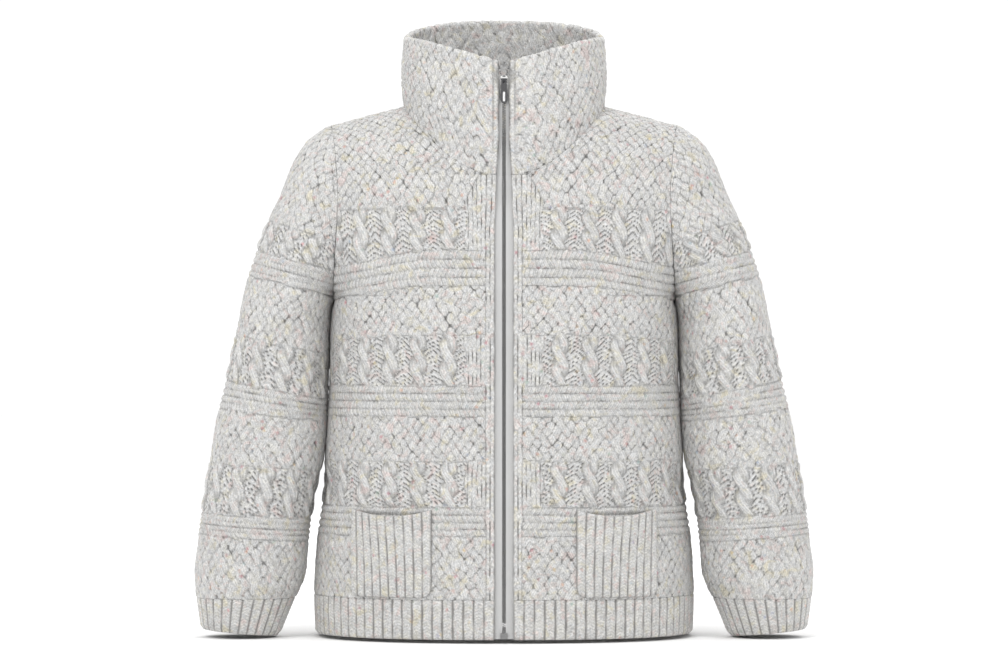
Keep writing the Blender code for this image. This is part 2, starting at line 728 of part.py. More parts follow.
def sleeve_grids():
    """Outer and inner points of the right sleeve, rows from the cuff to the shoulder tip."""
    rows = [Row(height, 0.0, 0.0) for height in FOREARM_ROWS]
    first_band = len(rows)
    rows += band_rows(SLEEVE_BANDS)
    first_cap = len(rows)
    rows += [Row(height, 0.0, 0.0) for height in CAP_ROWS]
    keep = list(range(first_band)) + [first_band + start for start in band_starts(SLEEVE_BANDS)]
    keep += [j for j in range(first_band, first_cap)
             if any(abs(rows[j].height - height) < SEAM_GAP for height in UNDERARM_ROWS)]
    keep = sorted(keep) + list(range(first_cap, first_cap + len(CAP_ROWS) + 1))
    base = [ring_points(ring_at(row.height), SLEEVE_COLUMNS) for row in rows]
    base.append(top_arc(SLEEVE_COLUMNS))
    rows.append(Row(TOP_ARC_Z, 0.0, 0.0))
    normals = grid_normals(base, closed=True)
    for j, line in enumerate(normals):
        if rows[j].height > UNDERARM_Z + 0.001:
            for end in (0, -1):
                line[end] = Vector((0.0, normals[j][end].y, normals[j][end].z)).normalized()
    closed = sum(1 for row in rows if row.height <= UNDERARM_Z + 0.0001)
    outer = []
    inner = []
    for j, line in enumerate(base):
        outer_line = []
        inner_line = []
        for i, point in enumerate(line):
            normal = normals[j][i]
            angle = math.pi * (2.0 * i / SLEEVE_COLUMNS - 1.0)
            dent = fold_depth(rows[j].height, angle) if j < closed and j > 0 else 0.0
            garter = rows[j].rise == GARTER_RISE
            raised = 0 < i < SLEEVE_COLUMNS and (garter or i % 2 == 1)
            rise = rows[j].rise if raised else 0.0
            rise *= ease((rows[j].height + 0.590) / 0.01) if i in (1, SLEEVE_COLUMNS - 1) else 1.0
            along_ring = Vector((0.0, math.cos(angle), 0.0)) * (rows[j].sway if raised else 0.0)
            outer_line.append(trim_sleeve(point + normal * (rise - dent) + along_ring, j < closed))
            inner_line.append(trim_sleeve(point - normal * (WALL + dent), j < closed))
        if j == 0:
            for point in outer_line + inner_line:
                point.z = RINGS[-1].inner_z
        outer.append(outer_line)
        inner.append(inner_line)
    open_inner = sum(1 for j in keep if j < closed)
    return outer, [inner[j] for j in keep], (closed, open_inner)


def trim_sleeve(point, in_tube):
    """Keep a sleeve's point outside the armhole seam."""
    if not in_tube or point.z > UNDERARM_Z:
        point.x = max(point.x, section_value(point.z, "edge") + SEAM_GAP)
    return point


def make_sleeve(name, side, material):
    outer, inner, closed = sleeve_grids()
    outer = [[side_of(point, side) for point in line] for line in outer]
    inner = [[side_of(point, side) for point in line] for line in inner]
    return make_wall(name, outer, inner, material, closed_rows=closed)


def make_cuff(name, side, material):
    top = RINGS[-1]
    rises = [RIB_RISE if k % 2 else 0.0 for k in range(2 * RIBS_CUFF + 1)]
    outer = []
    inner = []
    for share, rib in ((0.0, 0.35), (0.09, 1.0), (1.0, 1.0)):
        ring = Ring(*(a + (b - a) * share for a, b in zip(CUFF_BOTTOM, top)))
        middle = Vector((0.5 * (ring.inner_x + ring.outer_x), ring.forward, 0.0))
        outer_line = []
        inner_line = []
        for k in range(2 * RIBS_CUFF + 1):
            angle = math.pi * (k / RIBS_CUFF - 1.0)
            half = 0.5 * (ring.outer_x - ring.inner_x)
            x = middle.x + half * math.cos(angle)
            z = ring.inner_z + (ring.outer_z - ring.inner_z) * (x - ring.inner_x) / (2.0 * half)
            if share == 1.0:
                z -= SEAM_GAP
            point = Vector((x, ring.forward + ring.depth * math.sin(angle), z))
            normal = Vector((math.cos(angle) / half, math.sin(angle) / ring.depth, 0.0)).normalized()
            outer_line.append(side_of(point + normal * rises[k] * rib, side))
            inner_line.append(side_of(point - normal * WALL, side))
        outer.append(outer_line)
        inner.append(inner_line[::2])
    return make_wall(name, outer, [inner[0], inner[-1]], material, closed_rows=(3, 2))


# ---------------------------------------------------------------- collar
def rim_point(face, part):
    """Point of the collar's rim above a part of the neck seam."""
    reach = RIM_FRONT if face == "front" else RIM_BACK
    angle = 0.5 * math.pi * part
    x = NECK_HALF_WIDTH * math.sin(angle) ** (2.0 / NECK_POWER)
    y = reach * max(0.0, math.cos(angle)) ** (2.0 / NECK_POWER)
    if face == "front":
        return Vector((x, -y, RIM_SIDE_Z - RIM_DIP * (1.0 - x / NECK_HALF_WIDTH)))
    return Vector((x, y, RIM_SIDE_Z + RIM_SLOPE * y))


def collar_column(face, part):
    """Outer and inner points of one column of the collar, from the seam to the rim."""
    seam, through, away = neck_seam(face, part)
    rim = rim_point(face, part)
    outward = Vector((through.x, through.y, 0.0)).normalized()
    outer = [seam + away * SEAM_GAP / 2]
    inner = [seam - through * WALL + away * SEAM_GAP / 2]
    for share in COLLAR_SHARES[1:]:
        swell = COLLAR_BELLY * math.sin(math.pi * share)
        point = seam.lerp(rim, share) + outward * swell
        if share == 1.0:
            point.z -= CURL
        outer.append(point)
        inner.append(point - outward * WALL)
    outer.append(rim - outward * WALL / 2)
    return outer, inner


def make_collar(material):
    start = neck_start("front")
    columns = [collar_column("front", start + (1.0 - start) * k / NECK_STEPS)
               for k in range(NECK_STEPS + 1)]
    columns += [collar_column("back", 1.0 - k / NECK_STEPS) for k in range(1, NECK_STEPS + 1)]
    for column in columns[:1]:
        for point in column[0] + column[1]:
            point.x = EDGE_X
    whole = [(side_all(out, -1.0), side_all(back, -1.0)) for out, back in columns]
    whole += [pair for pair in reversed(columns[:-1])]
    outer = [[column[0][j] for column in whole] for j in range(len(whole[0][0]))]
    inner = [[column[1][j] for column in whole] for j in COLLAR_INNER_ROWS]
    return make_wall("collar", outer, inner, material)


def side_all(points, side):
    return [side_of(point, side) for point in points]


# ---------------------------------------------------------------- pockets
def pocket_grids():
    """Outer and inner points of the right pocket, moved out from the front panel."""
    columns = 2 * RIBS_POCKET
    outer = []
    inner = []
    for j in range(POCKET_ROWS + 1):
        share = j / POCKET_ROWS
        outer_line = []
        inner_line = []
        for k in range(columns + 1):
            place = k / columns
            distance = POCKET_START + (POCKET_END - POCKET_START) * place
            aside = min(place, 1.0 - place) * (POCKET_END - POCKET_START)
            corner = max(0.0, POCKET_CORNER - aside)
            low = POCKET_BOTTOM + POCKET_CORNER - math.sqrt(POCKET_CORNER ** 2 - corner ** 2 * 0.98)
            high = POCKET_TOP - POCKET_DIP * math.sin(math.pi * place) * (1.25 - 0.5 * place)
            height = low + (high - low) * share
            point = lower_point("front", distance, height)
            beside = lower_point("front", distance + 0.002, height) - point
            normal = Vector((-beside.y, beside.x, 0.0)).normalized()
            normal = -normal if normal.y > 0.0 else normal
            gape = POCKET_GAPE * math.sin(math.pi * place) ** 0.8 * share ** 1.6
            stand = GARTER_RISE + SEAM_GAP + gape
            rise = RIB_RISE if k % 2 and 0 < j else 0.0
            outer_line.append(point + normal * (stand + POCKET_WALL + rise))
            inner_line.append(point + normal * stand)
        outer.append(outer_line)
        inner.append(inner_line[::2])
    return outer, inner


def make_pocket(name, side, material):
    outer, inner = pocket_grids()
    outer = [[side_of(point, side) for point in line] for line in outer]
    inner = [[side_of(point, side) for point in line] for line in inner]
    return make_wall(name, outer, inner, material)


# ---------------------------------------------------------------- zip
ZipPoint = namedtuple("ZipPoint", "place normal open")


def front_edge_point(height):
    """Outer point of the front edge beside the zip at a height, on the panel or the collar."""
    start = neck_start("front")
    seam = upper_point("front", *neck_place("front", start))
    if height > seam.z:
        rim = rim_point("front", start)
        share = (height - seam.z) / (rim.z - seam.z)
        point = seam.lerp(rim, share)
        point.y -= COLLAR_BELLY * math.sin(math.pi * share)
        return point
    if height > ARM_MID_Z:
        turn = math.asin((height - ARM_MID_Z) / (SHOULDER_Z - ARM_MID_Z))
        distance = distance_at_x(MID_LINES["front"], MID_LENGTHS["front"], EDGE_X)
        return upper_point("front", distance, turn)
    line = section_line("front", height)
    lengths = line_lengths(line)
    return lower_point("front", distance_at_x(line, lengths, EDGE_X), height)


def zip_point(height):
    """Front edge's place, its forward normal, and how far the teeth have parted there."""
    place = front_edge_point(height)
    slope = front_edge_point(height + 0.004) - front_edge_point(height - 0.004)
    normal = Vector((0.0, -slope.z, slope.y)).normalized()
    top = RIM_SIDE_Z - RIM_DIP * (1.0 - EDGE_X / NECK_HALF_WIDTH)
    parted = OPEN_SPREAD * ease((height - SLIDER_Z + 0.002) / (top - SLIDER_Z)) ** 0.7
    return ZipPoint(place, normal, parted)


def zip_heights(low, high):
    """Heights at which the zip bends: those of the plain inside of the front and the collar."""
    start = neck_start("front")
    seam = upper_point("front", *neck_place("front", start))
    rim = rim_point("front", start)
    heights = [band.bottom for band in BANDS] + [BANDS[-1].top]
    heights += [seam.z + (rim.z - seam.z) * COLLAR_SHARES[k] for k in COLLAR_INNER_ROWS[:-1]]
    return [low] + [height for height in heights if low + 0.002 < height < high - 0.002] + [high]


def zip_bar(name, side, near, far, front, back, heights, material):
    """Bar that follows the zip, from near to far sideways, between two depths below the knit."""
    rows = []
    for height in heights:
        spot = zip_point(height)
        tape = far > EDGE_X
        line = [(near + spot.open, 0.0), (EDGE_X, 0.0), (far, TAPE_TUCK)]
        if not tape:
            line = [(near + spot.open, 0.0), (far + spot.open, 0.0)]
        corners = []
        for x, tuck in line:
            corners.append((x, front + tuck))
        for x, tuck in reversed(line):
            corners.append((x, back + tuck))
        points = [spot.place - spot.normal * depth for x, depth in corners]
        row = [Vector((x * side, point.y, point.z)) for (x, depth), point in zip(corners, points)]
        rows.append(row + row[:1])
    mesh = bmesh.new()
    verts = add_grid(mesh, rows)
    for line in (verts[0], verts[-1]):
        mesh.faces.new(line[:-1])
    bmesh.ops.remove_doubles(mesh, verts=mesh.verts, dist=0.00002)
    bmesh.ops.recalc_face_normals(mesh, faces=mesh.faces)
    bmesh.ops.triangulate(mesh, faces=mesh.faces)
    return finish_object(name, mesh, material)


def local_frame(height, depth):
    """Place and directions on the zip: sideways, up along it, and out of it."""
    spot = zip_point(height)
    origin = spot.place - spot.normal * depth
    origin.x = 0.0
    side = Vector((1.0, 0.0, 0.0))
    up = spot.normal.cross(side)
    up = up if up.z > 0.0 else -up
    return origin, side, up.normalized(), spot.normal


def box_in_frame(mesh, frame, low, high):
    """Box between two corners given sideways, up and out."""
    origin, side, up, out = frame
    made = bmesh.ops.create_cube(mesh, size=1.0)["verts"]
    for vert in made:
        local = [low[a] + (high[a] - low[a]) * (vert.co[a] + 0.5) for a in range(3)]
        vert.co = origin + side * local[0] + up * local[1] + out * local[2]
    return made


def plate_in_frame(mesh, frame, outline, low, high):
    """Flat plate with an outline given sideways and up, between two heights out of the zip."""
    origin, side, up, out = frame
    base = [mesh.verts.new(origin + side * x + up * z + out * low) for x, z in outline]
    face = mesh.faces.new(base)
    made = bmesh.ops.extrude_face_region(mesh, geom=[face])["geom"]
    for vert in (item for item in made if isinstance(item, bmesh.types.BMVert)):
        vert.co += out * (high - low)


CHAIN_FRONT = WALL + SEAM_GAP + TAPE_THICK / 2 - CHAIN_DEPTH / 2     # depth below the knit
CHAIN_BACK = CHAIN_FRONT + CHAIN_DEPTH
PLATE_BACK = -CHAIN_FRONT + SEAM_GAP                                 # out of the knit's surface
AXIS_OUT = PLATE_BACK + PLATE_THICK + 0.00095


def slider_outline():
    """Shield outline of the slider's plate: wide and round at the top, narrow at the foot."""
    half, height = SLIDER_SIZE[0] / 2, SLIDER_SIZE[1] / 2
    points = []
    for k in range(9):
        angle = math.pi * k / 8
        points.append((half * math.cos(angle), height * 0.35 + height * 0.65 * math.sin(angle)))
    points += [(-half * 0.62, -height * 0.80), (-half * 0.45, -height), (half * 0.45, -height),
               (half * 0.62, -height * 0.80)]
    return points


def make_slider(material):
    """Plate with a bridge over its middle, in which the pull tab's bar turns."""
    frame = local_frame(SLIDER_Z, 0.0)
    mesh = bmesh.new()
    plate_in_frame(mesh, frame, slider_outline(), PLATE_BACK, PLATE_BACK + PLATE_THICK)
    bmesh.ops.recalc_face_normals(mesh, faces=mesh.faces)
    plate = finish_object("zip_slider", mesh, material)
    foot = PLATE_BACK + PLATE_THICK - 0.0002
    top = PLATE_BACK + PLATE_THICK + BRIDGE_HEIGHT
    half = BRIDGE_WIDTH / 2
    reach = BRIDGE_LENGTH / 2
    profile = [(-reach, foot), (-reach, top - 0.0005), (-reach + 0.0007, top), (reach - 0.0007, top),
               (reach, top - 0.0005), (reach, foot), (reach - BRIDGE_BAR, foot),
               (reach - BRIDGE_BAR, top - 0.0009), (-reach + BRIDGE_BAR, top - 0.0009),
               (-reach + BRIDGE_BAR, foot)]
    origin, side, up, out = frame
    bridge = bmesh.new()
    ring = [bridge.verts.new(origin - side * half + up * z + out * h) for z, h in profile]
    face = bridge.faces.new(ring)
    made = bmesh.ops.extrude_face_region(bridge, geom=[face])["geom"]
    for vert in (item for item in made if isinstance(item, bmesh.types.BMVert)):
        vert.co += side * BRIDGE_WIDTH
    bmesh.ops.recalc_face_normals(bridge, faces=bridge.faces)
    cutter = finish_object("bridge_guide", bridge, material)
    cutter.hide_render = True
    cutter.display_type = "WIRE"
    joined = plate.modifiers.new("bridge", "BOOLEAN")
    joined.operation = "UNION"
    joined.solver = "EXACT"
    joined.object = cutter
    return plate


def tab_outline():
    """Half outline of the pull tab as (half width, distance below the pivot)."""
    return ((0.0000, 0.0006), (0.0024, 0.0006), (0.0031, 0.0000), (0.0034, -0.0040), (0.0037, -0.0130),
            (0.0044, -0.0205), (0.0043, -0.0255), (0.0030, -0.0286), (0.0012, -0.0298), (0.0000, -0.0300))


def hole_points(half_width, top, bottom):
    """Half outline of a hole with rounded ends, from its top to its bottom."""
    bend = half_width
    return ((0.0, top), (half_width * 0.7, top - bend * 0.3), (half_width, top - bend),
            (half_width, bottom + bend), (half_width * 0.7, bottom + bend * 0.3), (0.0, bottom))


def make_pull(material):
    """Pull tab: a tapered plate with an eye round the slider's bridge and a long slot below."""
    origin, side, up, out = local_frame(SLIDER_Z, 0.0)
    pivot = origin + out * AXIS_OUT
    mesh = bmesh.new()
    half = tab_outline()
    outline = [(x, z) for x, z in half] + [(-x, z) for x, z in reversed(half[1:-1])]
    plate_in_frame(mesh, (pivot, side, up, out), outline, -TAB_THICK / 2, TAB_THICK / 2)
    bmesh.ops.recalc_face_normals(mesh, faces=mesh.faces)
    tab = finish_object("zip_pull", mesh, material)
    for number, (half_width, top, bottom) in enumerate(((0.0016, -0.0006, -0.0056),
                                                        (0.0014, -0.0155, -0.0275))):
        cut = bmesh.new()
        edge = hole_points(half_width, top, bottom)
        ring = [(x, z) for x, z in edge] + [(-x, z) for x, z in reversed(edge[1:-1])]
        plate_in_frame(cut, (pivot, side, up, out), ring, -0.002, 0.002)
        bmesh.ops.recalc_face_normals(cut, faces=cut.faces)
        cutter = finish_object(f"slot_guide_{number}", cut, material)
        cutter.hide_render = True
        cutter.display_type = "WIRE"
        hole = tab.modifiers.new(f"slot_{number}", "BOOLEAN")
        hole.operation = "DIFFERENCE"
        hole.solver = "EXACT"
        hole.object = cutter
    return tab


def make_zip(tape, metal):
    start = neck_start("front")
    rim_z = rim_point("front", start).z
    stop_top = HEM_Z + 0.001 + STOP_SIZE[1]
    tape_front = WALL + SEAM_GAP
    for name, side in (("left", -1.0), ("right", 1.0)):
        zip_bar(f"zip_tape_{name}", side, TAPE_INNER_X, TAPE_OUTER_X, tape_front, tape_front + TAPE_THICK,
                zip_heights(HEM_Z + 0.001, rim_z - 0.004), tape)
        chain = zip_heights(stop_top + SEAM_GAP, rim_z - 0.0075)
        chain[-1:-1] = [SLIDER_Z + 0.002, SLIDER_Z + 0.006]
        zip_bar(f"zip_chain_{name}", side, SEAM_GAP / 2, SEAM_GAP / 2 + CHAIN_WIDTH, CHAIN_FRONT, CHAIN_BACK,
                chain, metal)
        zip_bar(f"zip_stop_top_{name}", side, -0.0003, CHAIN_WIDTH + 0.0002, CHAIN_FRONT - 0.0004,
                CHAIN_BACK + 0.0004, (rim_z - 0.0072, rim_z - 0.0042), metal)
    mesh = bmesh.new()
    box_in_frame(mesh, local_frame(HEM_Z + 0.001 + STOP_SIZE[1] / 2, 0.0),
                 (-STOP_SIZE[0] / 2, -STOP_SIZE[1] / 2, -WALL), (STOP_SIZE[0] / 2, STOP_SIZE[1] / 2, -0.0012))
    finish_object("zip_stop_bottom", mesh, metal)
    make_slider(metal)
    make_pull(metal)


# ---------------------------------------------------------------- the garment
def build():
    for item in list(bpy.data.objects):
        bpy.data.objects.remove(item, do_unlink=True)
    knit = make_material("knit", KNIT, 0.95)
    rib = make_material("knit_rib", KNIT_RIB, 0.95)
    tape = make_material("zip_tape", TAPE_GREY, 0.85)
    metal = make_material("zip_metal", METAL, 0.35, 1.0)
    make_back(knit)
    make_collar(knit)
    make_hem_back(rib)
    for name, side in (("left", -1.0), ("right", 1.0)):
        make_front(f"front_{name}", side, knit)
        make_sleeve(f"sleeve_{name}", side, knit)
        make_hem_front(f"hem_front_{name}", side, rib)
        make_cuff(f"cuff_{name}", side, rib)
        make_pocket(f"pocket_{name}", side, rib)
    make_zip(tape, metal)


build()
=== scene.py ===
"""Zip-up sweater: the knitted cloth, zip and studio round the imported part.

Metres, +Z up, front towards -Y. Each piece of cloth is a thin wall on its solid's own form:
a dense outer grid that carries the stitches and a plain inside, joined along its edges.
"""
import math
from collections import namedtuple

import bmesh
import bpy
import numpy as np
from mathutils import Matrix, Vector


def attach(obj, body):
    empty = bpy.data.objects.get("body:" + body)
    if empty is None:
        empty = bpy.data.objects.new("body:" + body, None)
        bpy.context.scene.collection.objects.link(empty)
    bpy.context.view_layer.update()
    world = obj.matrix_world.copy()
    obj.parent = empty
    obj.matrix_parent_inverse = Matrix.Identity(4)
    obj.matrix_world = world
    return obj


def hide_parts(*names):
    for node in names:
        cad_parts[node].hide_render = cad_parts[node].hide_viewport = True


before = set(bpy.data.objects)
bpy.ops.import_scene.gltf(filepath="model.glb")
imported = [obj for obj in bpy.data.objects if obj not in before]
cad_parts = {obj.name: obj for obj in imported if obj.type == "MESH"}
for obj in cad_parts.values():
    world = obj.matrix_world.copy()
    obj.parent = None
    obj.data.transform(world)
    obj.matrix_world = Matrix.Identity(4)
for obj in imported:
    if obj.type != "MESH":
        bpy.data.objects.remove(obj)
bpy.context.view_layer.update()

# ---------------------------------------------------------------- the garment's sizes
WALL = 0.0035
SEAM_GAP = 0.0003
SEWN = 0.0003            # how far the knit's outside reaches over that gap where it is sewn
HEM_Z = -0.634
RIB_TOP_Z = -0.587
ARM_MID_Z = -0.130
ARM_DEPTH = 0.072
UNDERARM_Z = -0.225
TIP_Z = -0.0165
SHOULDER_Z = 0.0060
SHOULDER_SLOPE = 0.26
BODY_POWER = 2.3
EDGE_X = 0.0115
NECK_HALF_WIDTH = 0.1205
NECK_FRONT = 0.112
NECK_BACK = 0.075
NECK_POWER = 2.3
RIM_SIDE_Z = 0.0885
RIM_SLOPE = 0.32
RIM_DIP = 0.0368
RIM_FRONT_Z = RIM_SIDE_Z - RIM_DIP * (1.0 - EDGE_X / NECK_HALF_WIDTH)
RIM_FRONT = 0.104
RIM_BACK = 0.088
COLLAR_BELLY = 0.0030
RIB_RISE = 0.0022
RIB_STITCH = 0.0056
POCKET_LIFT = 0.0020     # the knit's relief under a pocket
BEND_DROP = 0.018        # the bands sag towards the sides by up to this
BEND_START = -0.330
BEND_RUN = 0.115
BEND_PEAK = -0.190
BEND_END_RUN = 0.045
BEND_FROM = 0.35         # share of the way round from which they sag
YOKE_RADIUS = 0.122      # cloth length for each radian of turn over the shoulder
RIBS_FRONT = 24
RIBS_BACK = 48
RIBS_CUFF = 28
RIBS_POCKET = 10
HEM_TAPER = 0.0008       # how much the wall of a hem or a cuff thins towards its free edge
BAND_STEPS = 5           # inner steps up a hem or a cuff
SAMPLES = 49             # points on half a torso section
THIN = 6                 # the plain inside keeps every sixth row and column

Section = namedtuple("Section", "height edge front back")
SECTIONS = (
    Section(-0.634, 0.2285, 0.1500, 0.1400),
    Section(-0.587, 0.2300, 0.1490, 0.1400),
    Section(-0.520, 0.2260, 0.1450, 0.1350),
    Section(-0.432, 0.2150, 0.1390, 0.1260),
    Section(-0.351, 0.2120, 0.1370, 0.1210),
    Section(-0.278, 0.2095, 0.1370, 0.1230),
    Section(-0.218, 0.2075, 0.1330, 0.1260),
    Section(-0.160, 0.2030, 0.1250, 0.1260),
    Section(-0.130, 0.2010, 0.1200, 0.1250),
    Section(-0.090, 0.2010, 0.1180, 0.1220),
    Section(-0.050, 0.2045, 0.1180, 0.1220),
    Section(-0.016, 0.2100, 0.1180, 0.1220),
)

Band = namedtuple("Band", "kind bottom top")
BANDS = (
    Band("moss", -0.5870, -0.5120),
    Band("garter", -0.5120, -0.4775),
    Band("cable", -0.4775, -0.4228),
    Band("moss", -0.4228, -0.3693),
    Band("garter", -0.3693, -0.3324),
    Band("cable", -0.3324, -0.2718),
    Band("moss", -0.2718, -0.2135),
    Band("garter", -0.2135, -0.1707),
    Band("cable", -0.1707, -0.1208),
)
BAND_BLEND = {"moss": 0.0020, "garter": 0.0020, "cable": 0.0060}     # how softly a band ends
SLEEVE_BANDS = (
    Band("garter", -0.5220, -0.4940),
    Band("cable", -0.4940, -0.4360),
    Band("moss", -0.4360, -0.3770),
    Band("garter", -0.3770, -0.3500),
    Band("cable", -0.3500, -0.2960),
    Band("moss", -0.2960, -0.2250),
    Band("garter", -0.2250, -0.1950),
    Band("cable", -0.1950, -0.1600),
)

Ring = namedtuple("Ring", "inner_x inner_z outer_x outer_z depth forward")
RINGS = (
    Ring(0.2095, -0.0320, 0.2230, -0.0235, 0.0340, 0.000),
    Ring(0.2070, -0.0520, 0.2400, -0.0370, 0.0520, 0.000),
    Ring(0.2040, -0.0760, 0.2530, -0.0560, 0.0640, 0.000),
    Ring(0.2015, -0.1020, 0.2630, -0.0780, 0.0705, 0.000),
    Ring(0.2010, -0.1300, 0.2725, -0.1030, 0.0720, 0.000),
    Ring(0.2025, -0.1600, 0.2865, -0.1330, 0.0735, 0.000),
    Ring(0.2055, -0.1950, 0.3000, -0.1684, 0.0750, -0.001),
    Ring(0.2078, -0.2250, 0.3105, -0.2000, 0.0765, -0.002),
    Ring(0.2130, -0.2420, 0.3150, -0.2180, 0.0765, -0.003),
    Ring(0.2155, -0.2960, 0.3255, -0.2720, 0.0745, -0.007),
    Ring(0.2168, -0.3500, 0.3370, -0.3270, 0.0720, -0.011),
    Ring(0.2185, -0.3770, 0.3455, -0.3610, 0.0705, -0.013),
    Ring(0.2255, -0.4330, 0.3560, -0.4220, 0.0680, -0.018),
    Ring(0.2365, -0.4940, 0.3660, -0.4868, 0.0660, -0.023),
    Ring(0.2395, -0.5220, 0.3700, -0.5124, 0.0650, -0.025),
    Ring(0.2450, -0.5680, 0.3745, -0.5640, 0.0630, -0.028),
    Ring(0.2555, -0.5900, 0.3720, -0.5900, 0.0570, -0.029),
)
CUFF_BOTTOM = Ring(0.2745, -0.6360, 0.3665, -0.6280, 0.0450, -0.031)
CAP_TOP_RING_Z = -0.0320
TOP_ARC_Z = -0.0240

# soft creases: place on the cloth, reach along and across the crease, depth, and tilt
Fold = namedtuple("Fold", "height place reach width depth tilt")
SLEEVE_FOLDS = (             # place is the turn round the arm
    Fold(-0.290, 2.35, 0.055, 0.013, 0.0045, 0.25),
    Fold(-0.330, 2.55, 0.060, 0.014, 0.0050, 0.15),
    Fold(-0.375, -2.30, 0.055, 0.014, 0.0040, -0.20),
    Fold(-0.455, 2.10, 0.050, 0.015, 0.0035, -0.20),
    Fold(-0.545, -0.90, 0.060, 0.014, 0.0030, 0.20),
)
FRONT_FOLDS = (              # place is the distance round the body from the centre line
    Fold(-0.235, 0.245, 0.050, 0.016, 0.0035, 0.55),
    Fold(-0.330, 0.255, 0.055, 0.018, 0.0025, 0.25),
    Fold(-0.455, 0.240, 0.060, 0.020, 0.0025, -0.25),
    Fold(-0.150, 0.165, 0.050, 0.018, 0.0018, 0.70),
)
BACK_FOLDS = (
    Fold(-0.220, 0.215, 0.055, 0.016, 0.0035, 0.60),
    Fold(-0.340, 0.235, 0.060, 0.018, 0.0030, 0.25),
    Fold(-0.430, 0.060, 0.070, 0.020, 0.0030, 0.15),
    Fold(-0.500, 0.215, 0.060, 0.020, 0.0025, -0.25),
    Fold(-0.095, 0.120, 0.060, 0.018, 0.0020, 0.45),
)

POCKET_START = 0.0860
POCKET_END = 0.1900
POCKET_BOTTOM = -0.5845
POCKET_TOP = -0.4800
POCKET_DIP = 0.0075
POCKET_WALL = 0.0025
POCKET_GAPE = 0.0120
POCKET_CORNER = 0.0130
POCKET_EDGE = 0.0030     # width of its rounded edges

TAPE_THICK = 0.0008
CHAIN_DEPTH = 0.0022
SLIDER_Z = 0.0350
OPEN_SPREAD = 0.0050
STOP_HEIGHT = 0.0072
TEETH_PITCH = 0.0020
TEETH_FROM_HEM = 0.0016 + STOP_HEIGHT
TEETH_FROM_RIM = 0.0085
TOOTH_LENGTH = 0.0021
TOOTH_X = 0.00095        # a tooth's middle, from the centre line
THREAD = (0.0006, 0.0024, 0.0005)        # width, length and thickness of a sewn stitch
THREAD_PITCH = 0.0032
THREAD_X = 0.0098
THREAD_FROM_HEM = 0.006
THREAD_FROM_RIM = 0.010
PULL_PIVOT = (0.0, -0.10559, 0.03491)
PULL_BAR = (0.0026, 0.0118, 0.0010)      # width, length and thickness
PULL_BAR_DROP = 0.0215
EYE = (0.0022, 0.0011)                   # half width and half height of the gap under the bridge, painted dark on the slider as shade
EYE_LIFT = 0.0032
EDGE_ROLL = 0.0054       # how far the knit's front edge rolls over the tape at the neck and collar
TOUCH_GAP = 0.0003       # left between sleeve and body where they hang against each other
TOUCH_LOW = -0.450
TOUCH_HIGH = -0.228
TOUCH_SWELL = 0.0040     # the most that either swells there

# ---------------------------------------------------------------- the knit's sizes
LUMP_WIDTH = 0.0116      # puffy lumps of the moss bands, yoke and collar
LUMP_HALF = 0.0076
LUMP_RISE = 0.0031
LUMP_STRAY = 0.62        # how far a lump's middle strays, as a share of its half width
LUMP_NEIGHBOURS = [(a, b) for a in (-1, 0, 1) for b in (-1, 0, 1)]
CABLE_PITCH = 0.0370
CABLE_FIRST = 0.0660     # first cable's centre, from the centre line
CABLE_TURNS = 2.2        # crossings of a cable in a band
STRAND_SWING = 0.0050
STRAND_HALF = 0.0068
CABLE_RISE = 0.0042
WALE = 0.0056            # width of a plain column of stitches
STITCH = 0.0062          # height of a plain stitch
EDGE_WALES = 0.0225      # outer limit of the fine ribs that run all along the zip
RIB_LINES = 0.0480       # outer limit of the fine ribs beside the cable rows and on the yoke
RIB_LINE = 0.0052        # width of one of those fine ribs
INSIDE_TONE = 0.6        # the plain inside of a wall, between the painted gap shade and the yarn
GARTER_RIDGES = 4.0
GARTER_STITCH = 0.0052
GARTER_RISE = 0.0029
LADDER_ROW = 0.0056
FINE_RISE = 0.0018
FINE_STITCH = 0.0090
PLY = 0.0030             # spacing of the yarn's plies


# ---------------------------------------------------------------- curves
def ease(value):
    value = np.clip(value, 0.0, 1.0)
    return value * value * (3.0 - 2.0 * value)


def table_curve(rows, key, column):
    """Smooth curve through one column of a table, as a function of its key column."""
    keys = np.array([getattr(row, key) for row in rows])
    values = np.array([getattr(row, column) for row in rows])
    if keys[0] > keys[-1]:
        keys, values = keys[::-1], values[::-1]
    slopes = np.diff(values) / np.diff(keys)
    tangents = np.concatenate((slopes[:1], 0.5 * (slopes[1:] + slopes[:-1]), slopes[-1:]))

    def read(place):
        place = np.clip(place, keys[0], keys[-1])
        k = np.clip(np.searchsorted(keys, place, side="right") - 1, 0, len(keys) - 2)
        span = keys[k + 1] - keys[k]
        t = (place - keys[k]) / span
        return ((2 * t ** 3 - 3 * t ** 2 + 1) * values[k] + (t ** 3 - 2 * t ** 2 + t) * span * tangents[k]
                + (3 * t ** 2 - 2 * t ** 3) * values[k + 1] + (t ** 3 - t ** 2) * span * tangents[k + 1])
    return read


TORSO = {name: table_curve(SECTIONS, "height", name) for name in ("edge", "front", "back")}
ARM = {name: table_curve(RINGS, "inner_z", name) for name in Ring._fields}
FACE_TURN = {"front": -1.0, "back": 1.0}


def armhole_depth(height):
    reach = np.where(height > ARM_MID_Z, TIP_Z - ARM_MID_Z, ARM_MID_Z - UNDERARM_Z)
    return ARM_DEPTH * np.sqrt(np.maximum(0.0, 1.0 - ((height - ARM_MID_Z) / reach) ** 2))


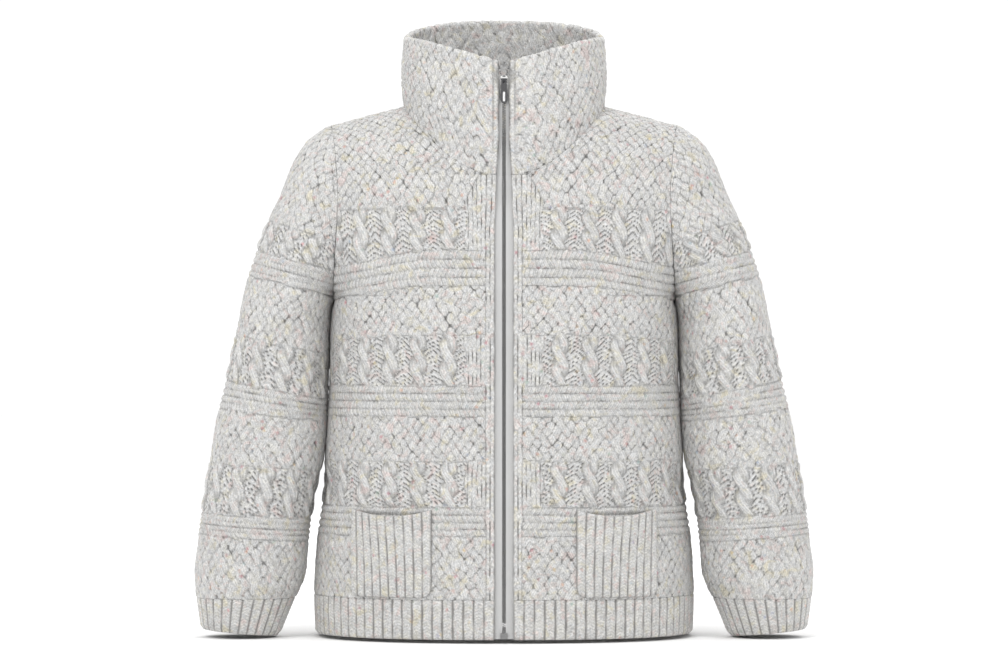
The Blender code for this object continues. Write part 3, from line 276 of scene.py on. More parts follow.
def section_lines(face, height):
    """Half torso sections, one a row: their x, y and lengths from the centre line."""
    depth = TORSO[face](height)
    hollow = armhole_depth(height) / depth
    half_width = TORSO["edge"](height) / (1.0 - hollow ** BODY_POWER) ** (1.0 / BODY_POWER)
    angle = np.arccos(hollow ** (BODY_POWER / 2.0))[:, None] * np.linspace(0.0, 1.0, SAMPLES)
    x = half_width[:, None] * np.sin(angle) ** (2.0 / BODY_POWER)
    y = depth[:, None] * np.maximum(0.0, np.cos(angle)) ** (2.0 / BODY_POWER)
    steps = np.hypot(np.diff(x, axis=1), np.diff(y, axis=1))
    lengths = np.concatenate((np.zeros((len(x), 1)), np.cumsum(steps, axis=1)), axis=1)
    return x, y, lengths


def torso_points(face, height, share=None, distance=None):
    """Points of the torso below the armhole's middle, and their distances from the centre line."""
    shape = height.shape
    height = height.ravel()
    x, y, lengths = section_lines(face, height)
    target = share.ravel() * lengths[:, -1] if distance is None else distance.ravel()
    k = np.clip((lengths < target[:, None]).sum(axis=1) - 1, 0, SAMPLES - 2)
    row = np.arange(len(height))
    t = np.clip((target - lengths[row, k]) / (lengths[row, k + 1] - lengths[row, k]), 0.0, 1.0)
    px = x[row, k] + (x[row, k + 1] - x[row, k]) * t
    py = y[row, k] + (y[row, k + 1] - y[row, k]) * t
    points = np.stack((px, FACE_TURN[face] * py, height), axis=1).reshape(*shape, 3)
    return points, target.reshape(shape)


def first_share(face, height):
    """Share of each section's length at which the front edge beside the zip lies."""
    if face == "back":
        return np.zeros(len(height))
    x, _, lengths = section_lines(face, height)
    return np.array([np.interp(EDGE_X, a, b) / b[-1] for a, b in zip(x, lengths)])


MID_LINES = {face: [line[0] for line in section_lines(face, np.array([ARM_MID_Z]))]
             for face in ("front", "back")}


def shoulder_height(x):
    return SHOULDER_Z - SHOULDER_SLOPE * np.maximum(0.0, x - NECK_HALF_WIDTH)


def edge_scale(turn):
    height = ARM_MID_Z + (TIP_Z - ARM_MID_Z) * np.sin(turn)
    return TORSO["edge"](height) / TORSO["edge"](np.array(ARM_MID_Z))


def upper_points(face, distance, turn):
    """Points above the armhole's middle, from distance round the body and turn over the shoulder."""
    line_x, line_y, lengths = MID_LINES[face]
    x = np.interp(distance, lengths, line_x) * edge_scale(turn)
    y = np.interp(distance, lengths, line_y)
    z = ARM_MID_Z + (shoulder_height(x) - ARM_MID_Z) * np.sin(turn)
    return np.stack((x, FACE_TURN[face] * y * np.cos(turn), z), axis=-1)


def neck_plan(face, part):
    reach = NECK_FRONT if face == "front" else NECK_BACK
    angle = 0.5 * math.pi * part
    return (NECK_HALF_WIDTH * np.sin(angle) ** (2.0 / NECK_POWER),
            reach * np.maximum(0.0, np.cos(angle)) ** (2.0 / NECK_POWER))


def neck_start(face):
    if face == "back":
        return 0.0
    parts = np.linspace(0.0, 0.5, 2001)
    return float(np.interp(EDGE_X, neck_plan(face, parts)[0], parts))


def neck_place(face, part):
    """Distance and turn on the torso where the neck seam runs."""
    x, y = neck_plan(face, part)
    line_x, line_y, lengths = MID_LINES[face]
    turn = np.full_like(x, 0.5)
    for _ in range(8):
        distance = np.interp(x / edge_scale(turn), line_x, lengths)
        depth = np.interp(distance, lengths, line_y)
        turn = np.arccos(np.minimum(1.0, y / depth))
    return distance, turn


def unit(vectors):
    return vectors / np.maximum(1e-9, np.linalg.norm(vectors, axis=-1, keepdims=True))


def neck_seam(face, part):
    """Seam points, directions through the cloth, and directions from the panel to the collar."""
    distance, turn = neck_place(face, part)
    seam = upper_points(face, distance, turn)
    step = 0.002
    bend = 0.02
    across = (upper_points(face, distance + step, turn)
              - upper_points(face, np.maximum(0.0, distance - step), turn))
    up = (upper_points(face, distance, np.minimum(turn + bend, 0.5 * math.pi))
          - upper_points(face, distance, turn - bend))
    normal = unit(np.cross(across, up) * -FACE_TURN[face])
    x, y = neck_plan(face, part)
    reach = NECK_FRONT if face == "front" else NECK_BACK
    outward = unit(np.stack((x ** (NECK_POWER - 1) / NECK_HALF_WIDTH ** NECK_POWER,
                             FACE_TURN[face] * y ** (NECK_POWER - 1) / reach ** NECK_POWER,
                             np.zeros_like(x)), axis=-1))
    normal[part >= 1.0] = (0.0, 0.0, 1.0)
    outward[part >= 1.0] = (1.0, 0.0, 0.0)
    through = unit(normal + outward)
    ahead = upper_points(face, *neck_place(face, np.minimum(1.0, part + 0.01)))
    behind = upper_points(face, *neck_place(face, np.maximum(0.0, part - 0.01)))
    away = unit(np.cross(ahead - behind, through))
    away *= np.where(away[..., 2:] < 0.0, -1.0, 1.0)
    return seam, through, away


# ---------------------------------------------------------------- stitches
# A stitch's rise; its lightness, from the painted shade between stitches (0) to the lit top of the yarn (1),
# with some random tone; its strand; and its random per-stitch shade of yarn.
Knit = namedtuple("Knit", "rise tone strand shade")


def scatter(a, b, salt=0.0):
    """Repeatable number from 0 to 1 for each whole-number pair."""
    value = np.sin(a * 127.1 + b * 311.7 + salt * 74.7) * 43758.5453
    return value - np.floor(value)


def wander(u, v, size, salt):
    """Smooth wavering of about -1 to 1 over the cloth."""
    return (np.sin(u / size + 1.7 * np.sin(v / size * 0.83 + salt) + salt * 3.1)
            * np.cos(v / size * 1.13 + 1.3 * np.sin(u / size * 0.71 - salt)))


def lumps(u, v):
    """Staggered puffy lumps of uneven size, each a few slanting turns of yarn."""
    u = u + 0.0014 * wander(u, v, 0.019, 0.4)
    v = v + 0.0016 * wander(u, v, 0.022, 2.1)
    across = u / (0.5 * LUMP_WIDTH)
    up = v / LUMP_HALF
    first_a = np.round(0.5 * (across + up))
    first_b = np.round(0.5 * (across - up))
    near, second, a, b, du, dv = (np.full(u.shape, 9.0) for _ in range(6))
    for step_a, step_b in LUMP_NEIGHBOURS:
        cell_a = first_a + step_a
        cell_b = first_b + step_b
        aside = across - (cell_a + cell_b) - LUMP_STRAY * (scatter(cell_a, cell_b, 1.0) - 0.5)
        lift = up - (cell_a - cell_b) - LUMP_STRAY * (scatter(cell_a, cell_b, 2.0) - 0.5)
        away = np.hypot(aside, lift) / (0.90 + 0.20 * scatter(cell_a, cell_b, 4.0))
        closer = away < near
        second = np.where(closer, near, np.minimum(second, away))
        near, a, b, du, dv = (np.where(closer, new, old) for new, old in (
            (away, near), (cell_a, a), (cell_b, b), (aside, du), (lift, dv)))
    pick = scatter(a, b)
    puff = np.maximum(0.0, 1.0 - (near / 1.06) ** 2) ** 0.6
    lean = np.where(pick > 0.5, 1.0, -1.0) * (0.2 + 0.5 * scatter(a, b, 3.0))
    puff = puff * (1.0 - 0.22 * np.exp(-((du + lean * dv) / 0.22) ** 2) * ease(0.5 + dv))
    # Painted shade along the borders between lumps, darker round some lumps than others, and towards each
    # lump's edge.
    border_shade = (0.32 + 0.62 * scatter(a, b, 6.0)) * (1.0 - ease((second - near) / 0.26))
    strand = (du * 0.5 * LUMP_WIDTH + lean * dv * LUMP_HALF) / PLY + pick * 7.0
    rise = LUMP_RISE * puff * (0.80 + 0.30 * scatter(a, b, 4.0)) - 0.0006
    tone = ease(puff * 1.02) * (1.0 - border_shade) + 0.10 + 0.10 * wander(u, v, 0.0042, 7.0)
    return Knit(rise, np.clip(tone, 0.0, 1.0), strand, scatter(a, b, 5.0))


def plain(u, v, wale=WALE, relief=0.0015):
    """Plain columns of V stitches."""
    u = u + 0.0004 * wander(u, v, 0.011, 1.0)
    place = u / wale
    column = np.floor(place)
    aside = place - column - 0.5
    row = v / STITCH - 0.9 * np.abs(aside)
    step = row - np.floor(row)
    ridge = np.sqrt(np.maximum(0.0, 1.0 - (2.0 * np.abs(np.abs(aside) - 0.25) / 0.5) ** 2 * 0.96))
    puff = ridge * (0.55 + 0.45 * np.sin(math.pi * step))
    outside = np.abs(aside) * 2.0
    # Painted shade towards the edges of each column and between the stitches.
    tone = np.clip(puff * (1.0 - 0.8 * np.maximum(0.0, outside - 0.72) / 0.28), 0.0, 1.0)
    strand = row * 1.6 + aside * 2.0
    return Knit(relief * puff * (1.0 - 0.5 * outside ** 4), tone, strand, scatter(column, np.floor(row), 6.0))


def garter(u, v, band):
    """Four level ridges of small slanting stitches."""
    place = ((v - band.bottom) / (band.top - band.bottom) * GARTER_RIDGES + 0.07 * wander(u, v, 0.030, 3.0)
             + 0.05 * wander(u, v, 0.008, 3.6))
    row = np.floor(place)
    level = place - row - 0.5
    puff = np.maximum(0.0, 1.0 - (2.0 * np.abs(level)) ** 2.2) ** 0.8
    lean = np.where(row % 2 == 0, 1.0, -1.0)
    slant = (u + level * 0.0042 * lean + 0.0016 * wander(u, v, 0.009, 8.0)) / GARTER_STITCH
    slant = slant + scatter(row, 0.0) * 0.7
    stitch = (0.5 - 0.5 * np.cos(2.0 * math.pi * slant)) ** 0.7
    # Painted shade in the grooves between the ridges, of random depth, and between the slanting stitches.
    tone = puff * (0.36 + 0.64 * stitch) + (1.0 - puff) * (0.10 + 0.40 * scatter(np.floor(slant), row, 12.0))
    return Knit(GARTER_RISE * puff * (0.62 + 0.38 * stitch) - 0.0004, tone, slant * 2.0,
                scatter(np.floor(slant), row, 7.0))


def cables(u, v, band, turn, first, pitch):
    """Twisted two-strand cables with ladders of short bars between them."""
    t = (v - band.bottom) / (band.top - band.bottom)
    number = np.round((u - first) / pitch)
    centre = first + number * pitch + 0.0015 * (scatter(number, np.round(band.bottom * 100.0)) - 0.5)
    aside = (u - centre) * turn
    phase = math.pi * (CABLE_TURNS * t + 0.25 * scatter(number, np.round(band.top * 100.0)))
    best = np.full(u.shape, -1.0)
    strand = np.zeros(u.shape)
    shade = np.zeros(u.shape)
    half_width = STRAND_HALF * (0.62 + 0.38 * np.sin(math.pi * np.clip(t, 0.0, 1.0)) ** 0.5)
    for half in (0.0, math.pi):
        swing = STRAND_SWING * np.cos(phase + half)
        over = np.sin(phase + half)
        reach = (aside - swing) / half_width
        body = np.sqrt(np.maximum(0.0, 1.0 - reach ** 2))
        height = body * (0.62 + 0.38 * over) * (0.93 + 0.07 * np.cos(2.0 * math.pi * 1.7 * reach))
        better = height > best
        best = np.where(better, height, best)
        strand = np.where(better, reach * 1.7 + t * 3.0, strand)
        shade = np.where(better, scatter(number, np.floor((phase + half) / math.pi), 8.0), shade)
    ends = ease(np.minimum(t, 1.0 - t) / 0.07)
    rope = ease((STRAND_SWING + STRAND_HALF - np.abs(aside)) / 0.0025)
    bars = ladder(u, v, u - first - (np.floor((u - first) / pitch) + 0.5) * pitch)
    rise = np.where(rope > 0.0, np.maximum(bars.rise, CABLE_RISE * best * (0.35 + 0.65 * ends)), bars.rise)
    in_rope = CABLE_RISE * best > bars.rise
    worn = 0.84 + 0.16 * wander(u, v, 0.0035, 11.0)
    # A strand is painted darker towards its edges and where it dips under the other, as painted shade, with
    # random wavering.
    tone = np.where(in_rope, np.clip(best * 1.10 + 0.10, 0.0, 1.0) * worn, bars.tone)
    return Knit(rise, tone, np.where(in_rope, strand, bars.strand), np.where(in_rope, shade, bars.shade))


def ladder(u, v, aside):
    """Sunken ladder of short bars that lean both ways from its middle."""
    row = (v + 0.62 * np.abs(aside) + 0.0018 * wander(u, v, 0.008, 5.0)) / LADDER_ROW
    level = row - np.floor(row) - 0.5
    puff = np.maximum(0.0, 1.0 - (2.0 * np.abs(level)) ** 2.0) ** 0.8
    # Its lightness is painted shade between the bars.
    return Knit(0.0013 * puff - 0.0004, 0.30 + 0.52 * puff, row, scatter(np.floor(row), np.sign(aside), 9.0))


def blend(a, b, share):
    """Knit a where share is 0 and knit b where it is 1."""
    near = share > 0.5
    return Knit(a.rise + (b.rise - a.rise) * share, a.tone + (b.tone - a.tone) * share,
                np.where(near, b.strand, a.strand), np.where(near, b.shade, a.shade))


def banded(u, v, bands, turn, edges=True, first=CABLE_FIRST, pitch=CABLE_PITCH):
    """The knitted bands of a panel or a sleeve over its lumpy ground."""
    knit = lumps(u * turn, v)
    fine = ribbed((u - EDGE_X + 0.0008 * wander(u, v, 0.010, 6.0)) / RIB_LINE, v, FINE_RISE, FINE_STITCH)
    yoke = bands[-1].top
    if edges:
        limit = EDGE_WALES + (RIB_LINES - EDGE_WALES) * ease(1.0 - (v - yoke) / 0.060)
        knit = blend(knit, fine, np.where(v > yoke, ease((limit - u) / 0.003), 0.0))
    for band in bands:
        level = v + 0.0013 * wander(u, v, 0.009, 12.0)
        soft = BAND_BLEND[band.kind]
        inside = ease(0.5 + (level - band.bottom) / soft) * ease(0.5 + (band.top - level) / soft)
        if band.kind == "garter":
            knit = blend(knit, garter(u * turn, v, band), inside)
        elif band.kind == "cable":
            made = cables(u, v, band, turn, first, pitch)
            if edges:
                made = blend(made, fine, ease((RIB_LINES + 0.003 * wander(u, v, 0.013, 4.0) - u) / 0.005))
            knit = blend(knit, made, inside)
    if edges:
        knit = blend(knit, fine, ease((EDGE_WALES - u) / 0.0015))
    return knit


def ribbed(place, v, rise=RIB_RISE, stitch=RIB_STITCH):
    """Fat ribs with narrow grooves; place counts the ribs."""
    number = np.floor(place)
    aside = place - number - 0.5
    uneven = 1.04 + 0.10 * wander(place * 0.008, v, 0.0085, 13.0)
    puff = np.maximum(0.0, 1.0 - np.minimum(1.0, 2.0 * np.abs(aside) * uneven) ** 2.4) ** 0.75
    row = v / stitch + 1.1 * np.abs(aside) + 0.8 * scatter(number, 0.0, 11.0)
    step = row - np.floor(row)
    cleft = 1.0 - 0.42 * np.exp(-(aside / 0.09) ** 2)
    wave = 0.82 + 0.18 * np.sin(math.pi * step)
    # Painted shade in the grooves between ribs, in each rib's middle cleft and between the stitches up it.
    tone = puff * (0.78 + 0.22 * np.sin(math.pi * step)) * (0.55 + 0.45 * cleft)
    return Knit(rise * puff * wave * cleft, tone, row * 1.5, scatter(number, np.floor(row), 10.0))


def folds_over(u, v, folds):
    depth = np.zeros(u.shape)
    for fold in folds:
        run = u - fold.place
        lift = v - fold.height - run * fold.tilt
        depth += fold.depth * np.exp(-(lift / fold.width) ** 2 - (run / fold.reach) ** 2)
    return depth


# ---------------------------------------------------------------- cloth walls
def grid_normals(points, closed=None):
    """Outward normals of a grid of points whose rows run round and whose columns run up."""
    across = np.gradient(points, axis=1)
    if closed is not None:
        seam = points[:, 1] - points[:, -2]
        across[:, 0] = np.where(closed[:, None], 0.5 * seam, across[:, 0])
        across[:, -1] = np.where(closed[:, None], 0.5 * seam, across[:, -1])
    return unit(np.cross(across, np.gradient(points, axis=0)))


def add_grid(mesh, points, knit, cloth):
    """A grid of vertices laid on the points, each with its stitch and its place on the cloth."""
    rows, columns = points.shape[:2]
    made = bmesh.ops.create_grid(mesh, x_segments=columns - 1, y_segments=rows - 1, size=1.0)["verts"]
    stitch_layer = mesh.verts.layers.float_color["stitch"]
    cloth_layer = mesh.verts.layers.float_vector["cloth"]
    for vert, place, stitch, spot in zip(made, points.reshape(-1, 3).tolist(), knit.reshape(-1, 4).tolist(),
                                         cloth.reshape(-1, 3).tolist()):
        vert.co = place
        vert[stitch_layer] = stitch
        vert[cloth_layer] = spot
    return made


def new_cloth():
    mesh = bmesh.new()
    mesh.verts.layers.float_color.new("stitch")
    mesh.verts.layers.float_vector.new("cloth")
    return mesh


def chain(border, marks, k):
    """The open edges from one mark to the next, found by walking both ways from it."""
    found = []
    for first in marks[k].link_edges:
        if first not in border:
            continue
        edges = [first]
        vert = first.other_vert(marks[k])
        while vert not in marks:
            step = next(edge for edge in vert.link_edges if edge in border and edge is not edges[-1])
            edges.append(step)
            vert = step.other_vert(vert)
        if vert is marks[(k + 1) % len(marks)]:
            found.append(edges)
    return min(found, key=len)


def nearest(verts, place):
    place = Vector(place)
    return min(verts, key=lambda vert: (vert.co - place).length_squared)


def corners_of(outer, inner, spots):
    return [(outer[row, column], inner[row, column]) for row, column in spots]


def join_walls(mesh, *openings):
    """Bridge the outer side's open edges to the inner side's, stretch by stretch between corners."""
    border = {edge for edge in mesh.edges if edge.is_boundary}
    rim = {vert for edge in border for vert in edge.verts}
    for corners in openings:
        outside = [nearest(rim, place) for place, _ in corners]
        inside = [nearest(rim, place) for _, place in corners]
        for k in range(len(corners)):
            bmesh.ops.bridge_loops(mesh, edges=chain(border, outside, k) + chain(border, inside, k))


def pack_knit(knit):
    return np.stack((knit.tone, knit.strand, knit.shade, knit.rise * 200.0), axis=-1)


def finish_cloth(name, mesh, material, side=1.0):
    if side < 0.0:
        bmesh.ops.scale(mesh, vec=(-1.0, 1.0, 1.0), verts=mesh.verts)
    bmesh.ops.recalc_face_normals(mesh, faces=mesh.faces)
    return finish_piece(name, mesh, material)


def finish_piece(name, mesh, material, smooth=True):
    data = bpy.data.meshes.new(name)
    for face in mesh.faces:
        face.smooth = smooth
    mesh.to_mesh(data)
    mesh.free()
    return show(name, data, material)


def show(name, data, material):
    data.materials.append(material)
    piece = bpy.data.objects.new(name, data)
    bpy.context.scene.collection.objects.link(piece)
    return piece


def match_ends(values, closed):
    """Give both ends of each closed row the same value, so that its seam closes."""
    values = values.copy()
    mean = 0.5 * (values[:, 0] + values[:, -1])
    for end in (0, -1):
        values[:, end] = np.where(closed, mean, values[:, end])
    return values


def cloth_of(u, v, side):
    return np.stack((u, v, np.full(u.shape, side)), axis=-1)


# ---------------------------------------------------------------- panels
PanelMesh = namedtuple("PanelMesh", "step_u step_v mid_steps neck_height first_cable")
PANELS = {
    "front": PanelMesh(0.00170, 0.00155, 3, 0.135, CABLE_FIRST),
    "back": PanelMesh(0.00225, 0.00215, 8, 0.100, CABLE_PITCH / 2),
}
PANEL_WIDTH = 0.285
NEAR_SIDE = 0.92         # share of the half width from which a panel lies against the sleeve
NEAR_BLEND = 0.06
SEAM_RUN = 0.004         # width of the groove beside a seam
SEAM_KEPT = 0.62
SEWN_RUN = 0.003         # how far from a seam the outside starts to reach over
ROLL_RUN = 0.020         # width of the strip that rolls over the tape
ROLL_START = -0.170      # height on the cloth from which it rolls
ROLL_GROWTH = 0.100
ROLL_AT_NECK = 0.5


def multiple(length, step):
    """Number of steps in a length, as a multiple of the inside's thinning."""
    return THIN * max(1, round(length / step / THIN))


def panel_grid(face, columns, low_rows, mid_rows, neck_rows):
    """Base points of half a panel on the right, with places round and up the cloth."""
    heights = np.linspace(RIB_TOP_Z + SEAM_GAP / 2, BANDS[-1].top, low_rows + 1)[:-1]
    start = first_share(face, heights)[:, None]
    share = start + (1.0 - start) * np.linspace(0.0, 1.0, columns + 1)
    bend = np.where(heights < BEND_PEAK, ease((heights - BEND_START) / BEND_RUN),
                    ease((ARM_MID_Z - heights) / BEND_END_RUN))
    height = heights[:, None] - BEND_DROP * bend[:, None] * ease((share - BEND_FROM) / (1.0 - BEND_FROM))
    low, low_u = torso_points(face, height, share=share)
    low_v = np.repeat(heights[:, None], columns + 1, axis=1)

    begin = neck_start(face)
    waist = math.asin((BANDS[-1].top - ARM_MID_Z) / (TIP_Z - ARM_MID_Z))
    first_distance, first_turn = (value[0] for value in neck_place(face, np.array([begin])))
    mids = np.linspace(waist, first_turn, mid_rows + 1)[:-1]
    parts = np.linspace(begin, 1.0, neck_rows + 1)
    distance, turn = neck_place(face, parts)
    distance = np.concatenate((np.full(mid_rows, first_distance), distance))[:, None]
    edge_turn = np.concatenate((mids, np.linspace(first_turn, 0.5 * math.pi, neck_rows + 1)))[:, None]
    turn = np.concatenate((mids, turn))[:, None]
    along = np.linspace(0.0, 1.0, columns + 1)
    total = MID_LINES[face][2][-1]
    high_u = distance + (total - distance) * along
    high_turn = turn + (edge_turn - turn) * along
    high = upper_points(face, high_u, high_turn)
    high_v = ARM_MID_Z + YOKE_RADIUS * high_turn
    base = np.concatenate((low, high))
    return base, np.concatenate((low_u, high_u)), np.concatenate((low_v, high_v)), parts


def sewn(run):
    """Share of the relief that is left at a distance from a sewn edge."""
    return ease(run / SEAM_RUN + SEAM_KEPT)


def pressed(rise, near, height):
    """Relief where a sleeve hangs against the body: flatter, and swelled to nearly close the gap."""
    near = near * ease((height - TOUCH_LOW) / 0.03) * ease((TOUCH_HIGH - height) / 0.012)
    gap = ARM["inner_x"](height) - TORSO["edge"](height)
    swell = np.clip(0.5 * (gap - TOUCH_GAP), 0.0, TOUCH_SWELL)
    return np.where(rise < 0.0, rise * (1.0 - near), rise * (1.0 - 0.65 * near)) + swell * near


def trim_panel(points, face, base):
    """Keep a panel on its own side of the side, shoulder and armhole seams."""
    if face == "front":
        points[..., 1] = np.minimum(points[..., 1], -SEAM_GAP / 2)
    else:
        points[..., 1] = np.maximum(points[..., 1], SEAM_GAP / 2)
    limit = TORSO["edge"](points[..., 2]) - SEAM_GAP
    high = base[..., 2] > UNDERARM_Z - 0.002
    points[..., 0] = np.where(high, np.minimum(points[..., 0], limit), points[..., 0])
    return points


def seam_fade(base, free_first):
    """Less on a panel's sewn edges than inside, so that seams lie in a soft groove."""
    steps = np.linalg.norm(np.diff(base, axis=1), axis=2)
    run = np.concatenate((np.zeros((len(base), 1)), np.cumsum(steps, axis=1)), axis=1)
    fade = sewn(run[:, -1:] - run)
    climbs = np.linalg.norm(np.diff(base, axis=0), axis=2)
    climb = np.concatenate((np.zeros((1, base.shape[1])), np.cumsum(climbs, axis=0)), axis=0)
    fade *= sewn(climb) * sewn(climb[-1:] - climb)
    rows = np.arange(len(base))[:, None]
    return fade * np.where(rows >= free_first, sewn(run), 1.0)


def make_panel(face, side, folds):
    """Outside, inside, stitches and cloth places of a front or of half the back, and its first neck row."""
    plan = PANELS[face]
    columns = multiple(PANEL_WIDTH, plan.step_u)
    low_rows = multiple(BANDS[-1].top - RIB_TOP_Z, plan.step_v)
    mid_rows = THIN * plan.mid_steps
    neck_rows = multiple(plan.neck_height, plan.step_v)
    base, u, v, parts = panel_grid(face, columns, low_rows, mid_rows, neck_rows)
    normals = grid_normals(base) * -FACE_TURN[face]
    first_neck = low_rows + mid_rows
    knit = banded(u, v, BANDS, side, edges=face == "front", first=plan.first_cable)
    fade = seam_fade(base, first_neck)
    dent = folds_over(u, v, folds) * fade
    aside = base[..., 0] / TORSO["edge"](base[..., 2])
    near = ease((aside - NEAR_SIDE) / NEAR_BLEND)
    outer = base + normals * pressed(knit.rise * fade - dent, near, base[..., 2])[..., None]
    seam, through, away = neck_seam(face, parts)
    outer = trim_panel(outer, face, base)
    inner_full = trim_panel(base - normals * (WALL + dent)[..., None], face, base)
    outer[..., 0] += SEWN * ease(1.0 - (u[:, -1:] - u) / SEWN_RUN) * (v > ARM_MID_Z)
    outer[first_neck:, 0] = seam
    inner_full[first_neck:, 0] = seam - through * WALL - away * SEAM_GAP / 2
    if face == "front":
        for points in (outer, inner_full):
            points[:, 0, 0] = np.maximum(points[:, 0, 0], EDGE_X)
        outer[:first_neck, 0, 0] = EDGE_X
        inner_full[:first_neck, 0, 0] = EDGE_X
    # The knit is painted darker where its relief fades at the seams, as painted shade in the seam's groove.
    stitch = pack_knit(knit._replace(tone=knit.tone * (0.70 + 0.30 * fade)))
    return outer, inner_full, stitch, cloth_of(u, v, side), first_neck


def add_wall(mesh, outer, inner, stitch, cloth):
    """The dense outside of a wall and its thinned inside, not yet joined."""
    add_grid(mesh, outer, stitch, cloth)
    flat = stitch[::THIN, ::THIN].copy()
    flat[..., 0] = INSIDE_TONE
    flat[..., 3] = 0.0
    add_grid(mesh, inner[::THIN, ::THIN], flat, cloth[::THIN, ::THIN])


def rolled(points, from_edge, share):
    """Outer points drawn over the tape beside the front edge, by a share of the roll."""
    points[..., 0] -= EDGE_ROLL * share * ease(1.0 - from_edge / ROLL_RUN)
    return points


def make_front(name, side, material):
    outer, inner, stitch, cloth, neck = make_panel("front", side, FRONT_FOLDS)
    rolled(outer, np.abs(cloth[..., 0]) - EDGE_X,
           ROLL_AT_NECK * ease((cloth[..., 1] - ROLL_START) / ROLL_GROWTH))
    mesh = new_cloth()
    add_wall(mesh, outer, inner, stitch, cloth)
    join_walls(mesh, corners_of(outer, inner, ((0, 0), (0, -1), (-1, -1), (-1, 0), (neck, 0))))
    return finish_cloth(name, mesh, material, side)


def make_back(name, material):
    """The back: rows right across up to the neck, then a wing on each side of it."""
    right = make_panel("back", 1.0, BACK_FOLDS)
    left = make_panel("back", -1.0, BACK_FOLDS)
    neck = right[4]
    flip = np.array((-1.0, 1.0, 1.0))
    right = right[:4]
    left = (left[0] * flip, left[1] * flip, left[2], left[3])
    mesh = new_cloth()
    below = (np.concatenate((b[:neck + 1, :0:-1], a[:neck + 1]), axis=1) for a, b in zip(right, left))
    add_wall(mesh, *below)
    for half in (right, left):
        add_wall(mesh, *(grid[neck:] for grid in half))
    bmesh.ops.remove_doubles(mesh, verts=mesh.verts, dist=0.00001)
    spots = ((0, -1), (-1, -1), (-1, 0))
    join_walls(mesh, corners_of(*right[:2], spots) + corners_of(*right[:2], ((neck, 0),))
               + corners_of(*left[:2], spots[::-1]))
    return finish_cloth(name, mesh, material)


# ---------------------------------------------------------------- hems, cuffs and pockets
def make_hem(name, face, sides, ribs, material):
    """Ribbed hem of a front, or of both halves of the back."""
    columns = THIN * 2 * ribs if face == "front" else THIN * ribs
    rows = THIN * BAND_STEPS
    heights = np.linspace(HEM_Z, RIB_TOP_Z - SEAM_GAP / 2, rows + 1)
    start = first_share(face, heights)[:, None]
    along = np.linspace(0.0, 1.0, columns + 1)
    share = start + (1.0 - start) * along
    base, u = torso_points(face, np.repeat(heights[:, None], columns + 1, axis=1), share=share)
    v = np.repeat(heights[:, None], columns + 1, axis=1)
    normals = grid_normals(base) * -FACE_TURN[face]
    normals[..., 2] = 0.0
    normals = unit(normals)
    count = ribs if face == "front" else ribs / 2
    place = np.repeat((along * count)[None], rows + 1, axis=0)
    knit = ribbed(place + 0.06 * wander(u, v, 0.013, 1.0) * 0.5, v)
    edge = ease((v - HEM_Z) / 0.0035 + 0.1)
    top = ease((RIB_TOP_Z - v) / 0.003 + 0.6)
    outer = base + normals * ((knit.rise * edge * top + HEM_TAPER * (edge - 1.0))[..., None])
    inner = base - normals * (WALL - HEM_TAPER * (1.0 - edge))[..., None]
    outer[-1, :, 2] += SEWN
    outer = trim_panel(outer, face, base)
    inner = trim_panel(inner, face, base)
    # Painted shade towards the seam at its top.
    stitch = pack_knit(knit._replace(tone=knit.tone * (0.6 + 0.4 * top)))
    if sides == "both":
        flip = np.array((-1.0, 1.0, 1.0))
        outer, inner, stitch, u, v = (np.concatenate((left[:, :0:-1], right), axis=1) for left, right in (
            (outer * flip, outer), (inner * flip, inner), (stitch, stitch), (-u, u), (v, v)))
    mesh = new_cloth()
    add_wall(mesh, outer, inner, stitch, cloth_of(u, v, 1.0))
    join_walls(mesh, corners_of(outer, inner, ((0, 0), (0, -1), (-1, -1), (-1, 0))))
    return finish_cloth(name, mesh, material, sides if sides != "both" else 1.0)


def make_cuff(name, side, material):
    columns = THIN * RIBS_CUFF
    rows = THIN * BAND_STEPS
    share = np.linspace(0.0, 1.0, rows + 1)[:, None]
    ring = Ring(*(a + (b - a) * share for a, b in zip(CUFF_BOTTOM, RINGS[-1])))
    angle = math.pi * np.linspace(-1.0, 1.0, columns + 1)[None]
    half = 0.5 * (ring.outer_x - ring.inner_x)
    middle = 0.5 * (ring.outer_x + ring.inner_x)
    x = middle + half * np.cos(angle)
    z = ring.inner_z + (ring.outer_z - ring.inner_z) * (x - ring.inner_x) / (2.0 * half) - SEAM_GAP * share
    base = np.stack((x, ring.forward + ring.depth * np.sin(angle), z), axis=-1)
    normals = unit(np.stack((np.cos(angle) / half, np.sin(angle) / ring.depth, np.zeros(x.shape)), axis=-1))
    u = angle * 0.060 * np.ones(x.shape)
    v = z
    place = (angle / math.pi + 1.0) * 0.5 * RIBS_CUFF * np.ones(x.shape)
    knit = ribbed(place + 0.03 * wander(u, v, 0.013, 2.0), v)
    knit = knit._replace(rise=match_ends(knit.rise, np.ones(rows + 1, bool)))
    edge = ease(share * 7.0 + 0.1)
    top = ease((1.0 - share) * 8.0 + 0.6)
    outer = base + normals * ((knit.rise * edge * top - HEM_TAPER * (1.0 - edge))[..., None])
    outer[-1, :, 2] += SEWN
    inner = base - normals * WALL
    # Painted shade towards the seam at its top.
    stitch = pack_knit(knit._replace(tone=knit.tone * (0.6 + 0.4 * top)))
    mesh = new_cloth()
    flat = stitch[::-THIN].copy()
    flat[..., 0] = INSIDE_TONE
    cloth = cloth_of(u, v, side)
    add_grid(mesh, np.concatenate((outer, inner[::-THIN], outer[:1])),
             np.concatenate((stitch, flat, stitch[:1])), np.concatenate((cloth, cloth[::-THIN], cloth[:1])))
    bmesh.ops.remove_doubles(mesh, verts=mesh.verts, dist=0.00001)
    return finish_cloth(name, mesh, material, side)


